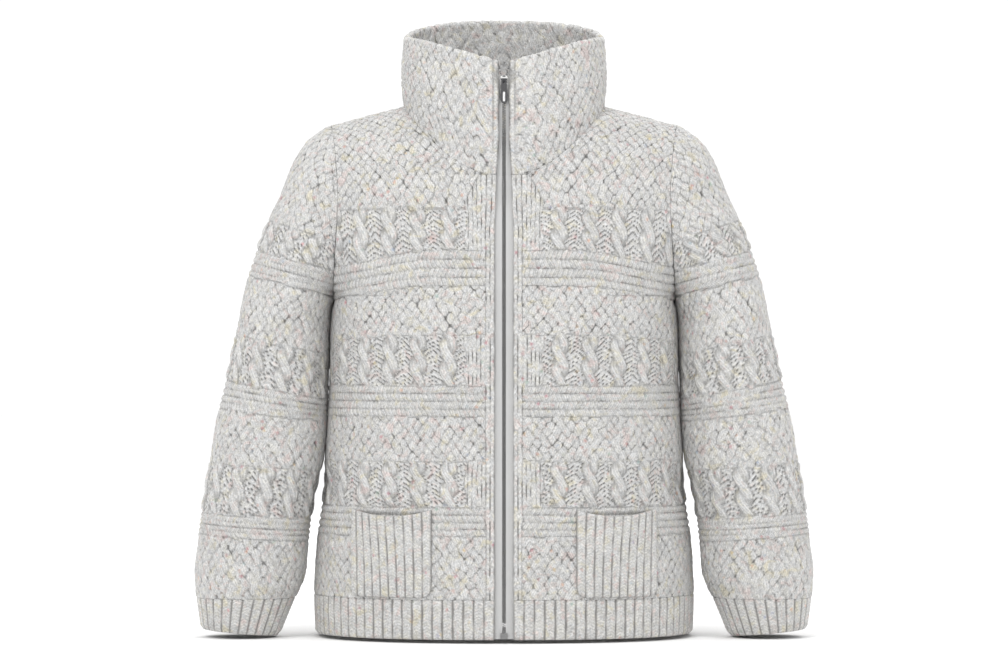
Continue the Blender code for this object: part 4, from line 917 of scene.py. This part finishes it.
def make_pocket(name, side, material):
    columns = THIN * RIBS_POCKET
    rows = THIN * 10
    place = np.linspace(0.0, 1.0, columns + 1)[None]
    share = np.linspace(0.0, 1.0, rows + 1)[:, None]
    aside = np.minimum(place, 1.0 - place) * (POCKET_END - POCKET_START)
    corner = np.maximum(0.0, POCKET_CORNER - aside)
    low = POCKET_BOTTOM + POCKET_CORNER - np.sqrt(POCKET_CORNER ** 2 - corner ** 2 * 0.98)
    high = POCKET_TOP - POCKET_DIP * np.sin(math.pi * place) * (1.25 - 0.5 * place)
    height = low + (high - low) * share
    distance = (POCKET_START + (POCKET_END - POCKET_START) * place) * np.ones(height.shape)
    base, _ = torso_points("front", height, distance=distance)
    normals = -grid_normals(base) * FACE_TURN["front"]
    normals[..., 2] = 0.0
    normals = unit(normals)
    gape = POCKET_GAPE * np.sin(math.pi * place) ** 0.8 * share ** 1.6
    stand = POCKET_LIFT + SEAM_GAP + gape
    knit = ribbed(place * RIBS_POCKET + 0.05 * wander(distance, height, 0.015, 4.0), height)
    side_edge = ease(aside / POCKET_EDGE + 0.15)
    foot = ease((height - low) / POCKET_EDGE + 0.15)
    lip = ease((high - height) / POCKET_EDGE + 0.25)
    fade = side_edge * foot * (0.4 + 0.6 * lip)
    outer = base + normals * (stand + POCKET_WALL * (0.5 + 0.5 * fade) + knit.rise * fade)[..., None]
    inner = base + normals * (stand * (0.55 + 0.45 * fade))[..., None]
    # Painted shade along the pocket's sides and foot, and a little along its mouth.
    stitch = pack_knit(knit._replace(tone=knit.tone * (0.4 + 0.6 * fade)))
    mesh = new_cloth()
    add_wall(mesh, outer, inner, stitch, cloth_of(distance, height, side))
    join_walls(mesh, corners_of(outer, inner, ((0, 0), (0, -1), (-1, -1), (-1, 0))))
    return finish_cloth(name, mesh, material, side)


# ---------------------------------------------------------------- sleeves
SLEEVE_STEP = 0.0021
SLEEVE_ROUND = 0.420     # lengths that the mesh steps are counted from
TUBE_LENGTH = 0.365
CAP_LENGTH = 0.193
SLEEVE_FIRST_CABLE = -0.010
SLEEVE_CABLE_PITCH = 0.034
ARM_RADIUS = 0.066       # turns a place round the arm into a length


def make_sleeve(name, side, material):
    columns = multiple(SLEEVE_ROUND, SLEEVE_STEP)
    tube_rows = multiple(TUBE_LENGTH, SLEEVE_STEP)
    cap_rows = multiple(CAP_LENGTH, SLEEVE_STEP)
    heights = np.concatenate((np.linspace(RINGS[-1].inner_z, UNDERARM_Z, tube_rows + 1),
                              np.linspace(UNDERARM_Z, CAP_TOP_RING_Z, cap_rows + 1)[1:]))
    hollow = armhole_depth(heights)
    ring = Ring(*(ARM[name](heights)[:, None] for name in Ring._fields))
    lower = (heights < ARM_MID_Z)
    bend = np.arcsin(np.clip(hollow / ring.depth[:, 0], 0.0, 1.0))
    free = heights <= UNDERARM_Z + 1e-6
    last = np.where(free, math.pi, np.where(lower, math.pi - bend, 0.5 * math.pi))[:, None]
    depth = np.where(lower[:, None], ring.depth, hollow[:, None])
    seam_x = TORSO["edge"](heights)[:, None] + SEAM_GAP
    inner_x = np.where(heights[:, None] > UNDERARM_Z - 0.001, seam_x, ring.inner_x)
    half = (ring.outer_x - inner_x) / (1.0 - np.cos(last))
    angle = last * np.linspace(-1.0, 1.0, columns + 1)
    x = ring.outer_x - half + half * np.cos(angle)
    z = heights[:, None] + (ring.outer_z - heights[:, None]) * (x - inner_x) / (ring.outer_x - inner_x)
    base = np.stack((x, ring.forward + depth * np.sin(angle), z), axis=-1)
    reach = math.acos((TOP_ARC_Z - ARM_MID_Z) / (TIP_Z - ARM_MID_Z))
    turn = reach * np.linspace(-1.0, 1.0, columns + 1)
    arc_z = ARM_MID_Z + (TIP_Z - ARM_MID_Z) * np.cos(turn)
    arc = np.stack((TORSO["edge"](arc_z) + SEAM_GAP, ARM_DEPTH * np.sin(turn), arc_z), axis=-1)
    steps = np.linspace(0.0, 1.0, THIN + 1)[1:, None, None]
    base = np.concatenate((base, base[-1:] + (arc[None] - base[-1:]) * steps))
    closed = np.concatenate((free, np.zeros(THIN, bool)))
    normals = grid_normals(base, closed)
    high = base[:, 0, 2] > UNDERARM_Z + 0.001
    for end in (0, -1):
        flat = normals[:, end] * np.array((0.0, 1.0, 1.0))
        normals[:, end] = np.where(high[:, None], unit(flat), normals[:, end])
    lengths = np.linalg.norm(np.diff(base, axis=1), axis=2)
    run = np.concatenate((np.zeros((len(base), 1)), np.cumsum(lengths, axis=1)), axis=1)
    u = run - run[:, columns // 2][:, None]
    climb = np.linalg.norm(np.diff(base[:, columns // 2], axis=0), axis=1)
    middle_v = np.concatenate(([0.0], np.cumsum(climb)))
    top_row = tube_rows + cap_rows
    nominal = np.concatenate((heights, np.full(THIN, CAP_TOP_RING_Z)))
    yoke = SLEEVE_BANDS[-1].top
    yoke_v = np.interp(yoke, heights, middle_v[:top_row + 1])
    lump_v = np.where(nominal > yoke, yoke + middle_v - yoke_v, nominal)
    v = np.repeat(lump_v[:, None], columns + 1, axis=1)
    knit = banded(u, v, SLEEVE_BANDS, side, edges=False, first=SLEEVE_FIRST_CABLE,
                  pitch=SLEEVE_CABLE_PITCH)
    knit = knit._replace(rise=match_ends(knit.rise, closed))
    arm_turn = math.pi * np.linspace(-1.0, 1.0, columns + 1)[None] * np.ones(u.shape)
    dent = np.zeros(u.shape)
    for fold in SLEEVE_FOLDS:
        swing = (arm_turn - fold.place + math.pi) % (2.0 * math.pi) - math.pi
        along = swing * ARM_RADIUS
        lift = nominal[:, None] - fold.height - along * fold.tilt
        dent += fold.depth * np.exp(-(lift / fold.width) ** 2 - (along / fold.reach) ** 2)
    from_edge = np.minimum(run, run[:, -1:] - run)
    fade = np.where(closed[:, None], ease(from_edge / SEAM_RUN + 0.45), sewn(from_edge))
    fade = fade * sewn(middle_v)[:, None] * sewn(middle_v[-1] - middle_v)[:, None]
    dent = np.where(closed[:, None], dent, 0.0) * ease(middle_v / 0.01)[:, None]
    near = ease(1.0 - (math.pi - np.abs(arm_turn)) / 0.55)
    outer = base + normals * pressed(knit.rise * fade - dent, near, nominal[:, None])[..., None]
    inner = base - normals * (WALL + dent)[..., None]
    limit = TORSO["edge"](outer[..., 2]) + SEAM_GAP
    outer[..., 0] -= SEWN * np.where(closed[:, None], 0.0, ease(1.0 - from_edge / SEWN_RUN))
    for points, slack in ((outer, SEWN), (inner, 0.0)):
        free = closed[:, None] & (points[..., 2] <= UNDERARM_Z)
        points[..., 0] = np.where(free, points[..., 0], np.maximum(points[..., 0], limit - slack))
        points[0, :, 2] = RINGS[-1].inner_z
    # The knit is painted darker where its relief fades at the seams, as painted shade in the seam's groove.
    stitch = pack_knit(knit._replace(tone=knit.tone * (0.70 + 0.30 * fade)))
    mesh = new_cloth()
    add_wall(mesh, outer, inner, stitch, cloth_of(u, v, side))
    bmesh.ops.remove_doubles(mesh, verts=mesh.verts, dist=0.00001)
    third = THIN * (columns // THIN // 3)
    join_walls(mesh, corners_of(outer, inner, ((0, 0), (0, third), (0, 2 * third))),
               corners_of(outer, inner, ((tube_rows, 0), (-1, 0), (-1, -1))))
    return finish_cloth(name, mesh, material, side)


# ---------------------------------------------------------------- collar
COLLAR_FRONT_STEPS = 96
COLLAR_BACK_STEPS = 78
COLLAR_ROWS = 60
RIM_ROWS = 8


def rim_points(face, part):
    reach = RIM_FRONT if face == "front" else RIM_BACK
    angle = 0.5 * math.pi * part
    x = NECK_HALF_WIDTH * np.sin(angle) ** (2.0 / NECK_POWER)
    y = FACE_TURN[face] * reach * np.maximum(0.0, np.cos(angle)) ** (2.0 / NECK_POWER)
    if face == "front":
        return np.stack((x, y, RIM_SIDE_Z - RIM_DIP * (1.0 - x / NECK_HALF_WIDTH)), axis=-1)
    return np.stack((x, y, RIM_SIDE_Z + RIM_SLOPE * y), axis=-1)


def make_collar(name, material):
    """Stand collar: up the outside, over a rounded rim and down the inside, all of it lumpy knit."""
    begin = neck_start("front")
    front_parts = np.linspace(begin, 1.0, COLLAR_FRONT_STEPS + 1)
    back_parts = np.linspace(1.0, 0.0, COLLAR_BACK_STEPS + 1)[1:]
    seams = []
    rims = []
    for face, parts in (("front", front_parts), ("back", back_parts)):
        seam, through, away = neck_seam(face, parts)
        rim = rim_points(face, parts)
        seams.append(np.concatenate((seam, through, away), axis=-1))
        rims.append(rim)
    seams = np.concatenate(seams)
    rims = np.concatenate(rims)
    seam, through, away = seams[:, :3], seams[:, 3:6], seams[:, 6:]
    outward = unit(through * np.array((1.0, 1.0, 0.0)))
    seam[0, 0] = EDGE_X
    rims[0, 0] = EDGE_X
    outward[0] = (0.0, -1.0, 0.0)
    share = np.linspace(0.0, 1.0, COLLAR_ROWS + 1)[:, None, None]
    lean = unit(rims - seam)
    top = rims - lean * WALL / 2
    swell = COLLAR_BELLY * np.sin(math.pi * share)
    outside = seam + (top - seam) * share + outward * swell
    blend_in = ease(share / 0.12)
    inward = unit(through * (1.0 - blend_in) + outward * blend_in)
    inside = outside - inward * WALL
    turn = np.linspace(0.0, math.pi, RIM_ROWS + 2)[1:-1][:, None, None]
    arch = (outside[-1] + inside[-1])[None] / 2 + (outward * np.cos(turn) + lean * np.sin(turn)) * WALL / 2
    base = np.concatenate((outside, arch, inside[::-1]))
    steps = np.linalg.norm(np.diff(outside[COLLAR_ROWS // 2], axis=0), axis=1)
    run = np.concatenate(([0.0], np.cumsum(steps)))
    length = np.mean(np.linalg.norm(top - seam, axis=1))
    climb = np.concatenate((share[:, 0, 0], 1.0 + np.linspace(0.0, 0.05, RIM_ROWS + 2)[1:-1],
                            1.05 + share[:, 0, 0]))
    normals = grid_normals(base)
    flip = np.array((-1.0, 1.0, 1.0))
    base = np.concatenate((base * flip, base[:, ::-1][:, 1:]), axis=1)
    normals = np.concatenate((normals * flip, normals[:, ::-1][:, 1:]), axis=1)
    around = np.concatenate((run - run[-1], (run[-1] - run)[::-1][1:]))
    u = np.repeat(around[None], len(base), axis=0)
    from_zip = run[-1] - np.abs(u) + EDGE_X
    v = climb[:, None] * length * np.ones(u.shape)
    knit = lumps(u, v)
    knit = blend(knit, plain(from_zip - EDGE_X, v, WALE, 0.0015), ease((EDGE_X + 0.0075 - from_zip) / 0.0015))
    ends = ease(climb / 0.035 + 0.62) * ease((climb[-1] - climb) / 0.045 + 0.12)
    rounding = ease(1.0 - np.abs(climb - 1.025) / 0.10)
    rise = knit.rise * ends[:, None] + 0.0009 * rounding[:, None]
    whole = base + normals * rise[..., None]
    for end, side in ((0, -1.0), (-1, 1.0)):
        whole[:, end, 0] = side * EDGE_X
    outside = ease((1.03 - climb) / 0.01)[:, None]
    roll = EDGE_ROLL * (ROLL_AT_NECK + (1.0 - ROLL_AT_NECK) * ease(climb / 0.30))[:, None]
    whole[..., 0] -= np.sign(whole[..., 0]) * roll * outside * ease(1.0 - (from_zip - EDGE_X) / ROLL_RUN)
    # Painted shade at the neck seam and deep inside, where the relief fades.
    tone = knit.tone * (0.60 + 0.40 * ends)[:, None]
    stitch = pack_knit(knit._replace(tone=tone))
    cloth = cloth_of(from_zip, v, 1.0)
    mesh = new_cloth()
    add_grid(mesh, whole, stitch, cloth)
    close_profile(mesh, whole)
    return finish_cloth(name, mesh, material)


def close_profile(mesh, whole):
    """Join the two lower edges of the collar, then close its two front ends."""
    mesh.verts.ensure_lookup_table()
    rows, columns = whole.shape[:2]
    lower = []
    for edge in mesh.edges:
        if edge.is_boundary:
            numbers = sorted(vert.index for vert in edge.verts)
            if numbers[1] < columns or numbers[0] >= (rows - 1) * columns:
                lower.append(edge)
    bmesh.ops.bridge_loops(mesh, edges=lower)
    left = [edge for edge in mesh.edges if edge.is_boundary]
    bmesh.ops.holes_fill(mesh, edges=left, sides=0)


# ---------------------------------------------------------------- zip
ZipPoint = namedtuple("ZipPoint", "place normal open")


def zip_line():
    """Outer points of the front edge beside the zip, from the hem to the collar's rim."""
    low = np.linspace(HEM_Z, ARM_MID_Z, 120)
    share = first_share("front", low)
    points, _ = torso_points("front", low, share=share)
    begin = neck_start("front")
    distance = np.interp(EDGE_X, MID_LINES["front"][0], MID_LINES["front"][2])
    last_turn = float(neck_place("front", np.array([begin]))[1][0])
    turns = np.linspace(0.0, last_turn, 20)[1:]
    upper = upper_points("front", np.full(turns.shape, distance), turns)
    seam = upper_points("front", *neck_place("front", np.array([begin])))[0]
    rim = rim_points("front", np.array([begin]))[0]
    part = np.linspace(0.0, 1.0, 40)[1:, None]
    collar = seam + (rim - seam) * part
    collar[:, 1] -= COLLAR_BELLY * np.sin(math.pi * part[:, 0])
    return np.concatenate((points, upper, collar))


ZIP_LINE = zip_line()


def zip_point(height):
    """Front edge's place, its forward normal, and how far the teeth have parted there."""
    def at(z):
        return Vector((EDGE_X, float(np.interp(z, ZIP_LINE[:, 2], ZIP_LINE[:, 1])), z))
    slope = at(height + 0.004) - at(height - 0.004)
    normal = Vector((0.0, -slope.z, slope.y)).normalized()
    parted = OPEN_SPREAD * float(ease((height - SLIDER_Z + 0.002) / (RIM_FRONT_Z - SLIDER_Z))) ** 0.7
    return ZipPoint(at(height), normal, parted)


def zip_spot(height, side, x, depth):
    """Place on the zip with its directions: sideways, up along it, and out of it."""
    spot = zip_point(height)
    out = spot.normal
    across = Vector((1.0, 0.0, 0.0))
    up = out.cross(across)
    if up.z < 0.0:
        up = -up
    origin = spot.place - out * depth
    origin.x = side * (x + spot.open)
    return origin, across, up, out


CHAIN_FRONT = WALL + SEAM_GAP + TAPE_THICK / 2 - CHAIN_DEPTH / 2


def tooth_template():
    """One bevelled tooth with a narrow head: its vertices and faces."""
    mesh = bmesh.new()
    bmesh.ops.create_cube(mesh, size=1.0)
    for vert in mesh.verts:
        head = vert.co.x < 0.0
        vert.co.x *= TOOTH_LENGTH
        vert.co.y *= TEETH_PITCH * (0.60 if head else 0.42)
        vert.co.z *= CHAIN_DEPTH * (1.0 if head else 0.8)
    bmesh.ops.bevel(mesh, geom=mesh.edges[:], offset=0.00016, segments=1, affect="EDGES", profile=0.5,
                    material=-1)
    return mesh


def copies(name, template, spots, material):
    """One mesh of many copies of a small shape; each spot has an origin and three directions."""
    shape = bpy.data.meshes.new("template")
    template.to_mesh(shape)
    template.free()
    points = np.array([vert.co for vert in shape.vertices])
    faces = [list(face.vertices) for face in shape.polygons]
    bpy.data.meshes.remove(shape)
    places = []
    polygons = []
    for number, (origin, across, up, out) in enumerate(spots):
        turn = np.array((across, up, out))
        places.append(points @ turn + np.array(origin))
        polygons += [[index + number * len(points) for index in face] for face in faces]
    data = bpy.data.meshes.new(name)
    data.from_pydata(np.concatenate(places).tolist(), [], polygons)
    mesh = bmesh.new()
    mesh.from_mesh(data)
    bmesh.ops.recalc_face_normals(mesh, faces=mesh.faces)
    mesh.to_mesh(data)
    mesh.free()
    return show(name, data, material)


def make_teeth(name, side, material):
    bottom = HEM_Z + TEETH_FROM_HEM
    top = RIM_FRONT_Z - TEETH_FROM_RIM
    count = int((top - bottom) / TEETH_PITCH)
    spots = []
    for k in range(count):
        height = bottom + TEETH_PITCH * (k + (0.25 if side > 0 else 0.75))
        origin, across, up, out = zip_spot(height, side, TOOTH_X, CHAIN_FRONT + CHAIN_DEPTH / 2)
        spots.append((origin, across * side, up, out))
    return copies(name, tooth_template(), spots, material)


def make_pull_bar(name, material):
    """The bright rounded bar that fills the pull tab's long slot."""
    _, across, up, out = zip_spot(SLIDER_Z, 1.0, 0.0, 0.0)
    mesh = bmesh.new()
    bmesh.ops.create_cube(mesh, size=1.0)
    for vert in mesh.verts:
        vert.co = Vector((vert.co.x * PULL_BAR[0], vert.co.y * PULL_BAR[1], vert.co.z * PULL_BAR[2]))
    upright = [edge for edge in mesh.edges if abs(edge.verts[0].co.z - edge.verts[1].co.z) > 0.0001]
    bmesh.ops.bevel(mesh, geom=upright, offset=PULL_BAR[0] * 0.45, segments=4, affect="EDGES", profile=0.5,
                    material=-1)
    middle = Vector(PULL_PIVOT) - up * PULL_BAR_DROP
    for vert in mesh.verts:
        vert.co = middle + across * vert.co.x + up * vert.co.y + out * vert.co.z
    bmesh.ops.recalc_face_normals(mesh, faces=mesh.faces)
    return finish_piece(name, mesh, material, smooth=False)


def make_stitching(name, side, material):
    """The line of machine stitches that holds the tape, just inside the knit's edge."""
    mesh = bmesh.new()
    bmesh.ops.create_uvsphere(mesh, u_segments=6, v_segments=4, radius=0.5)
    bmesh.ops.scale(mesh, vec=THREAD, verts=mesh.verts)
    spots = []
    height = HEM_Z + THREAD_FROM_HEM
    top = RIM_FRONT_Z - THREAD_FROM_RIM
    while height < top:
        spot = zip_point(height)
        origin, across, up, out = zip_spot(height, side, THREAD_X - spot.open, WALL + SEAM_GAP)
        spots.append((origin, across, up, out))
        height += THREAD_PITCH
    return copies(name, mesh, spots, material)


# ---------------------------------------------------------------- materials
class Wire:
    """A shader socket; used in an expression, it adds the Math nodes."""

    def __init__(self, tree, socket):
        self.tree = tree
        self.socket = socket

    def node(self, kind, settings=None, values=None, output=0):
        """Any node: its settings first, then the values or wires of its sockets."""
        made = self.tree.nodes.new(kind)
        for key, value in (settings or {}).items():
            if key == "stops":
                set_stops(made.color_ramp, value)
            else:
                setattr(made, key, value)
        for key, value in (values or {}).items():
            if isinstance(value, Wire):
                self.tree.links.new(value.socket, made.inputs[key])
            else:
                made.inputs[key].default_value = value
        return Wire(self.tree, made.outputs[output])

    def beside(self, output):
        """Another output of the same node."""
        return Wire(self.tree, self.socket.node.outputs[output])

    def place(self):
        """Object coordinates."""
        return self.node("ShaderNodeTexCoord", output=3)

    def noise(self, scale, detail, **settings):
        return self.node("ShaderNodeTexNoise", {},
                         {"Vector": self, "Scale": scale, "Detail": detail, **settings})

    def wave(self, pitch):
        """Sine from 0 to 1 with this pitch."""
        return (self * (2.0 * math.pi / pitch)).math("SINE") * 0.5 + 0.5

    def bump(self, shader, strength, distance):
        made = self.node("ShaderNodeBump", {}, {"Strength": strength, "Distance": distance, "Height": self})
        link(made, shader, "Normal")

    def math(self, operation, other=None, clamp=False):
        values = {0: self}
        if other is not None:
            values[1] = other
        return self.node("ShaderNodeMath", {"operation": operation, "use_clamp": clamp}, values)

    def __add__(self, other):
        return self.math("ADD", other)

    def __mul__(self, other):
        return self.math("MULTIPLY", other)

    def __sub__(self, other):
        return self.math("SUBTRACT", other)

    def __rsub__(self, other):
        return self.node("ShaderNodeMath", {"operation": "SUBTRACT"}, {0: other, 1: self})

    __radd__ = __add__
    __rmul__ = __mul__

    def ramp(self, low, high):
        """0 below low and 1 above high."""
        return self.node("ShaderNodeMapRange", {}, {"Value": self, "From Min": low, "From Max": high})

    def mix(self, a, b, kind="MIX"):
        """Colour a where this is 0 and b where it is 1."""
        return self.node("ShaderNodeMix", {"data_type": "RGBA", "blend_type": kind},
                         {0: self, 6: a, 7: b}, output=2)


def set_stops(ramp, stops):
    while len(ramp.elements) < len(stops):
        ramp.elements.new(0.5)
    for element, (place, colour) in zip(ramp.elements, stops):
        element.position = place
        element.color = (*colour, 1.0)


def start_material(name, **constants):
    material = bpy.data.materials.new(name)
    material.use_nodes = True
    tree = material.node_tree
    shader = tree.nodes["Principled BSDF"]
    for key, value in constants.items():
        shader.inputs[key.replace("_", " ")].default_value = value
    return material, Wire(tree, None), shader


def link(wire, shader, name):
    wire.tree.links.new(wire.socket, shader.inputs[name])


FLECKS = ((0.00, (0.62, 0.48, 0.10)), (0.18, (0.60, 0.16, 0.18)), (0.34, (0.16, 0.34, 0.22)),
          (0.50, (0.22, 0.30, 0.50)), (0.66, (0.66, 0.30, 0.12)), (0.82, (0.42, 0.07, 0.12)))
PASTELS = ((0.30, (1.00, 0.95, 0.80)), (0.40, (1.0, 1.0, 0.98)), (0.47, (1.0, 1.0, 1.0)),
           (0.53, (0.95, 0.97, 1.0)), (0.60, (1.0, 0.98, 0.97)), (0.70, (1.0, 0.88, 0.87)))


def knit_material(name, light, dark, gap):
    """Marled tweed yarn: light and grey plies, painted shade between the stitches and in the plies' grooves,
    sparse coloured flecks.
    """
    material, make, shader = start_material(name, Roughness=0.92, Sheen_Weight=0.15, Sheen_Roughness=0.5)
    stitch = make.node("ShaderNodeAttribute", {"attribute_name": "stitch"}, output=0)
    tone = make.node("ShaderNodeSeparateColor", {}, {0: stitch})
    strand = tone.beside(1)
    shade = tone.beside(2)
    place = make.place()
    ply = strand.wave(1.0)
    fuzz = place.noise(620.0, 3.0, Roughness=0.7)
    marl = place.noise(300.0, 3.0, Roughness=0.7, Distortion=1.2)
    drift = place.noise(34.0, 1.0)
    tint = place.noise(75.0, 2.0, Distortion=0.8)
    lightness = marl.ramp(0.36, 0.62) * 0.72 + shade * 0.20 + fuzz.ramp(0.3, 0.7) * 0.34 + drift * 0.14 - 0.20
    yarn = lightness.math("MULTIPLY", 1.0, clamp=True).mix((*dark, 1.0), (*light, 1.0))
    pastel = make.node("ShaderNodeValToRGB", {"stops": PASTELS}, {0: tint})
    tinted = make.node("ShaderNodeMix", {"data_type": "RGBA", "blend_type": "MULTIPLY"},
                       {0: 1.0, 6: yarn, 7: pastel}, output=2)
    bend = make.node("ShaderNodeVectorMath", {"operation": "MULTIPLY_ADD"},
                     {0: marl.beside(1), 1: (0.006, 0.006, 0.006), 2: place})
    cells = make.node("ShaderNodeTexVoronoi", {}, {"Vector": bend, "Scale": 112.0, "Randomness": 1.0})
    pick = make.node("ShaderNodeSeparateColor", {}, {0: cells.beside(1)})
    size = pick.beside(1)
    fleck_colour = make.node("ShaderNodeValToRGB", {"stops": FLECKS}, {0: pick})
    fleck = (1.0 - (cells + fuzz * 0.20).ramp(0.20, 0.46)) * size.ramp(0.72, 0.94)
    coloured = (fleck * 0.55).mix(tinted, fleck_colour)
    # The gap colour is painted shade: it shows where the stitch's lit share is low, and the plies are painted
    # darker in their grooves.
    lit_share = tone.ramp(0.02, 0.60) * (0.78 + ply * 0.22)
    colour = lit_share.mix((*gap, 1.0), coloured)
    link(colour, shader, "Base Color")
    (ply * 0.38 + fuzz * 0.70 + marl * 0.35).bump(shader, 0.75, 0.0011)
    return material


def tape_material():
    """Woven tape: fine ribs across and a twill up it."""
    material, make, shader = start_material("zip_tape_woven", Roughness=0.85)
    place = make.place()
    x = make.node("ShaderNodeSeparateXYZ", {}, {0: place})
    ribs = x.beside(2).wave(0.0012)
    weave = x.wave(0.0007)
    noise = place.noise(1500.0, 2.0)
    colour = (ribs * 0.35 + weave * 0.2 + noise * 0.45).mix((0.34, 0.34, 0.34, 1.0), (0.62, 0.62, 0.615, 1.0))
    link(colour, shader, "Base Color")
    (ribs * 0.7 + weave * 0.3).bump(shader, 0.5, 0.0003)
    return material


def metal_material(name, colour, roughness):
    """Cast metal with brushed streaks and worn spots."""
    material, make, shader = start_material(name, Metallic=1.0)
    place = make.place()
    long = make.node("ShaderNodeMapping", {}, {"Vector": place, "Scale": (3000.0, 3000.0, 300.0)})
    streak = long.noise(1.0, 3.0)
    worn = (place.noise(700.0, 3.0) * 0.6 + streak * 0.4).ramp(0.35, 0.7)
    bright = tuple(min(1.0, value * 1.5) for value in colour)
    link(worn.mix((*colour, 1.0), (*bright, 1.0)), shader, "Base Color")
    link(streak * 0.18 + (roughness - 0.09), shader, "Roughness")
    streak.bump(shader, 0.2, 0.0001)
    return material


def slider_material():
    """Cast slider: a bright band painted above as its highlight, with the gap under its bridge painted dark
    as shade, and dark below.
    """
    material, make, shader = start_material("zip_slider_metal", Metallic=1.0)
    place = make.place()
    axes = make.node("ShaderNodeSeparateXYZ", {}, {0: place})
    x = axes * (1.0 / EYE[0])
    z = (axes.beside(2) - (SLIDER_Z + EYE_LIFT)) * (1.0 / EYE[1])
    # The eye is the gap under the bridge painted dark as shade; the bright band round it is a painted
    # highlight.
    eye_shade = 1.0 - (x * x + z * z).math("SQRT").ramp(0.75, 1.05)
    highlight_band = z.ramp(-2.8, -2.0) * (1.0 - z.ramp(2.0, 2.8)) * (1.0 - eye_shade)
    wear = place.noise(700.0, 3.0)
    shine = wear.mix((0.62, 0.62, 0.61, 1.0), (0.92, 0.92, 0.91, 1.0))
    link(highlight_band.mix((0.07, 0.07, 0.075, 1.0), shine), shader, "Base Color")
    link(0.45 - highlight_band * 0.18 + wear * 0.06, shader, "Roughness")
    return material


def thread_material():
    material, make, shader = start_material("sewing_thread", Roughness=0.6)
    colour = make.place().noise(2500.0, 1.0).mix((0.50, 0.50, 0.49, 1.0), (0.74, 0.74, 0.72, 1.0))
    link(colour, shader, "Base Color")
    return material


# ---------------------------------------------------------------- studio
CAMERA_DISTANCE = 5.0
CAMERA_Z = -0.273
LENS = 146.0
FLOOR_Z = -0.6385


def make_floor():
    """Pale flat floor."""
    mesh = bmesh.new()
    bmesh.ops.create_grid(mesh, x_segments=2, y_segments=2, size=14.0)
    for vert in mesh.verts:
        vert.co.z = FLOOR_Z
    material, make, shader = start_material("studio_floor", Roughness=0.9)
    colour = make.place().noise(3.0, 1.0).mix((0.945, 0.945, 0.945, 1.0), (0.955, 0.955, 0.955, 1.0))
    link(colour, shader, "Base Color")
    finish_piece("studio_floor", mesh, material)


Lamp = namedtuple("Lamp", "name place target size power")
LAMPS = (
    Lamp("key", (-1.6, -3.0, 2.2), (0.0, 0.0, -0.25), 1.6, 46.0),
    Lamp("fill", (2.6, -2.6, 0.8), (0.0, 0.0, -0.30), 2.4, 14.0),
    Lamp("rear", (0.6, 3.2, 2.4), (0.0, 0.0, -0.30), 2.2, 28.0),
    Lamp("top", (0.0, -0.5, 2.6), (0.0, 0.1, 0.05), 0.7, 15.0),
)


def make_studio():
    scene = bpy.context.scene
    scene.view_settings.view_transform = "Standard"
    world = bpy.data.worlds.new("studio")
    world.use_nodes = True
    world.node_tree.nodes["Background"].inputs["Color"].default_value = (1.0, 1.0, 1.0, 1.0)
    world.node_tree.nodes["Background"].inputs["Strength"].default_value = 1.06
    scene.world = world
    for lamp in LAMPS:
        data = bpy.data.lights.new(lamp.name, "AREA")
        data.shape = "DISK"
        data.size = lamp.size
        data.energy = lamp.power
        item = bpy.data.objects.new(lamp.name, data)
        item.location = lamp.place
        item.rotation_mode = "QUATERNION"
        item.rotation_quaternion = (Vector(lamp.target) - Vector(lamp.place)).to_track_quat("-Z", "Y")
        scene.collection.objects.link(item)
    camera = bpy.data.cameras.new("camera")
    camera.lens = LENS
    camera.sensor_width = 36.0
    camera.clip_start = 0.1
    view = bpy.data.objects.new("camera", camera)
    view.location = (0.0, -CAMERA_DISTANCE, CAMERA_Z)
    view.rotation_euler = (math.pi / 2, 0.0, 0.0)
    scene.collection.objects.link(view)
    scene.camera = view


# ---------------------------------------------------------------- the garment
Cut = namedtuple("Cut", "width length area")


def declare(piece, node):
    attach(piece, "garment")
    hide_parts(node)


def build():
    make_studio()
    make_floor()
    # Each knit's last colour is the painted shade between its stitches.
    knit = knit_material("tweed_knit", (0.715, 0.708, 0.69), (0.39, 0.386, 0.378), (0.13, 0.127, 0.12))
    rib = knit_material("tweed_rib", (0.715, 0.706, 0.684), (0.38, 0.375, 0.366), (0.20, 0.195, 0.187))
    dark_metal = metal_material("zip_dark_metal", (0.20, 0.20, 0.20), 0.40)
    pull_metal = metal_material("zip_pull_metal", (0.075, 0.075, 0.077), 0.42)
    bright_metal = metal_material("zip_bright_metal", (0.66, 0.66, 0.66), 0.30)
    tape = tape_material()
    thread = thread_material()
    declare(make_back("back_knit", knit), "back")
    declare(make_collar("collar_knit", knit), "collar")
    declare(make_hem("hem_back_rib", "back", "both", RIBS_BACK, rib), "hem_back")
    for word, side in (("left", -1.0), ("right", 1.0)):
        front = make_front(f"front_{word}_knit", side, knit)
        declare(front, f"front_{word}")
        declare(make_sleeve(f"sleeve_{word}_knit", side, knit), f"sleeve_{word}")
        declare(make_hem(f"hem_front_{word}_rib", "front", side, RIBS_FRONT, rib), f"hem_front_{word}")
        declare(make_cuff(f"cuff_{word}_rib", side, rib), f"cuff_{word}")
        declare(make_pocket(f"pocket_{word}_rib", side, rib), f"pocket_{word}")
        declare(make_teeth(f"zip_teeth_{word}", side, dark_metal), f"zip_chain_{word}")
        stitching = make_stitching(f"zip_stitching_{word}", side, thread)
        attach(stitching, "garment")
        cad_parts[f"zip_tape_{word}"].data.materials[0] = tape
        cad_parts[f"zip_stop_top_{word}"].data.materials[0] = dark_metal
    bar = make_pull_bar("zip_pull_bar", bright_metal)
    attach(bar, "pull_tab")
    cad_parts["zip_stop_bottom"].data.materials[0] = dark_metal
    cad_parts["zip_slider"].data.materials[0] = slider_material()
    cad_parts["zip_pull"].data.materials[0] = pull_metal


build()
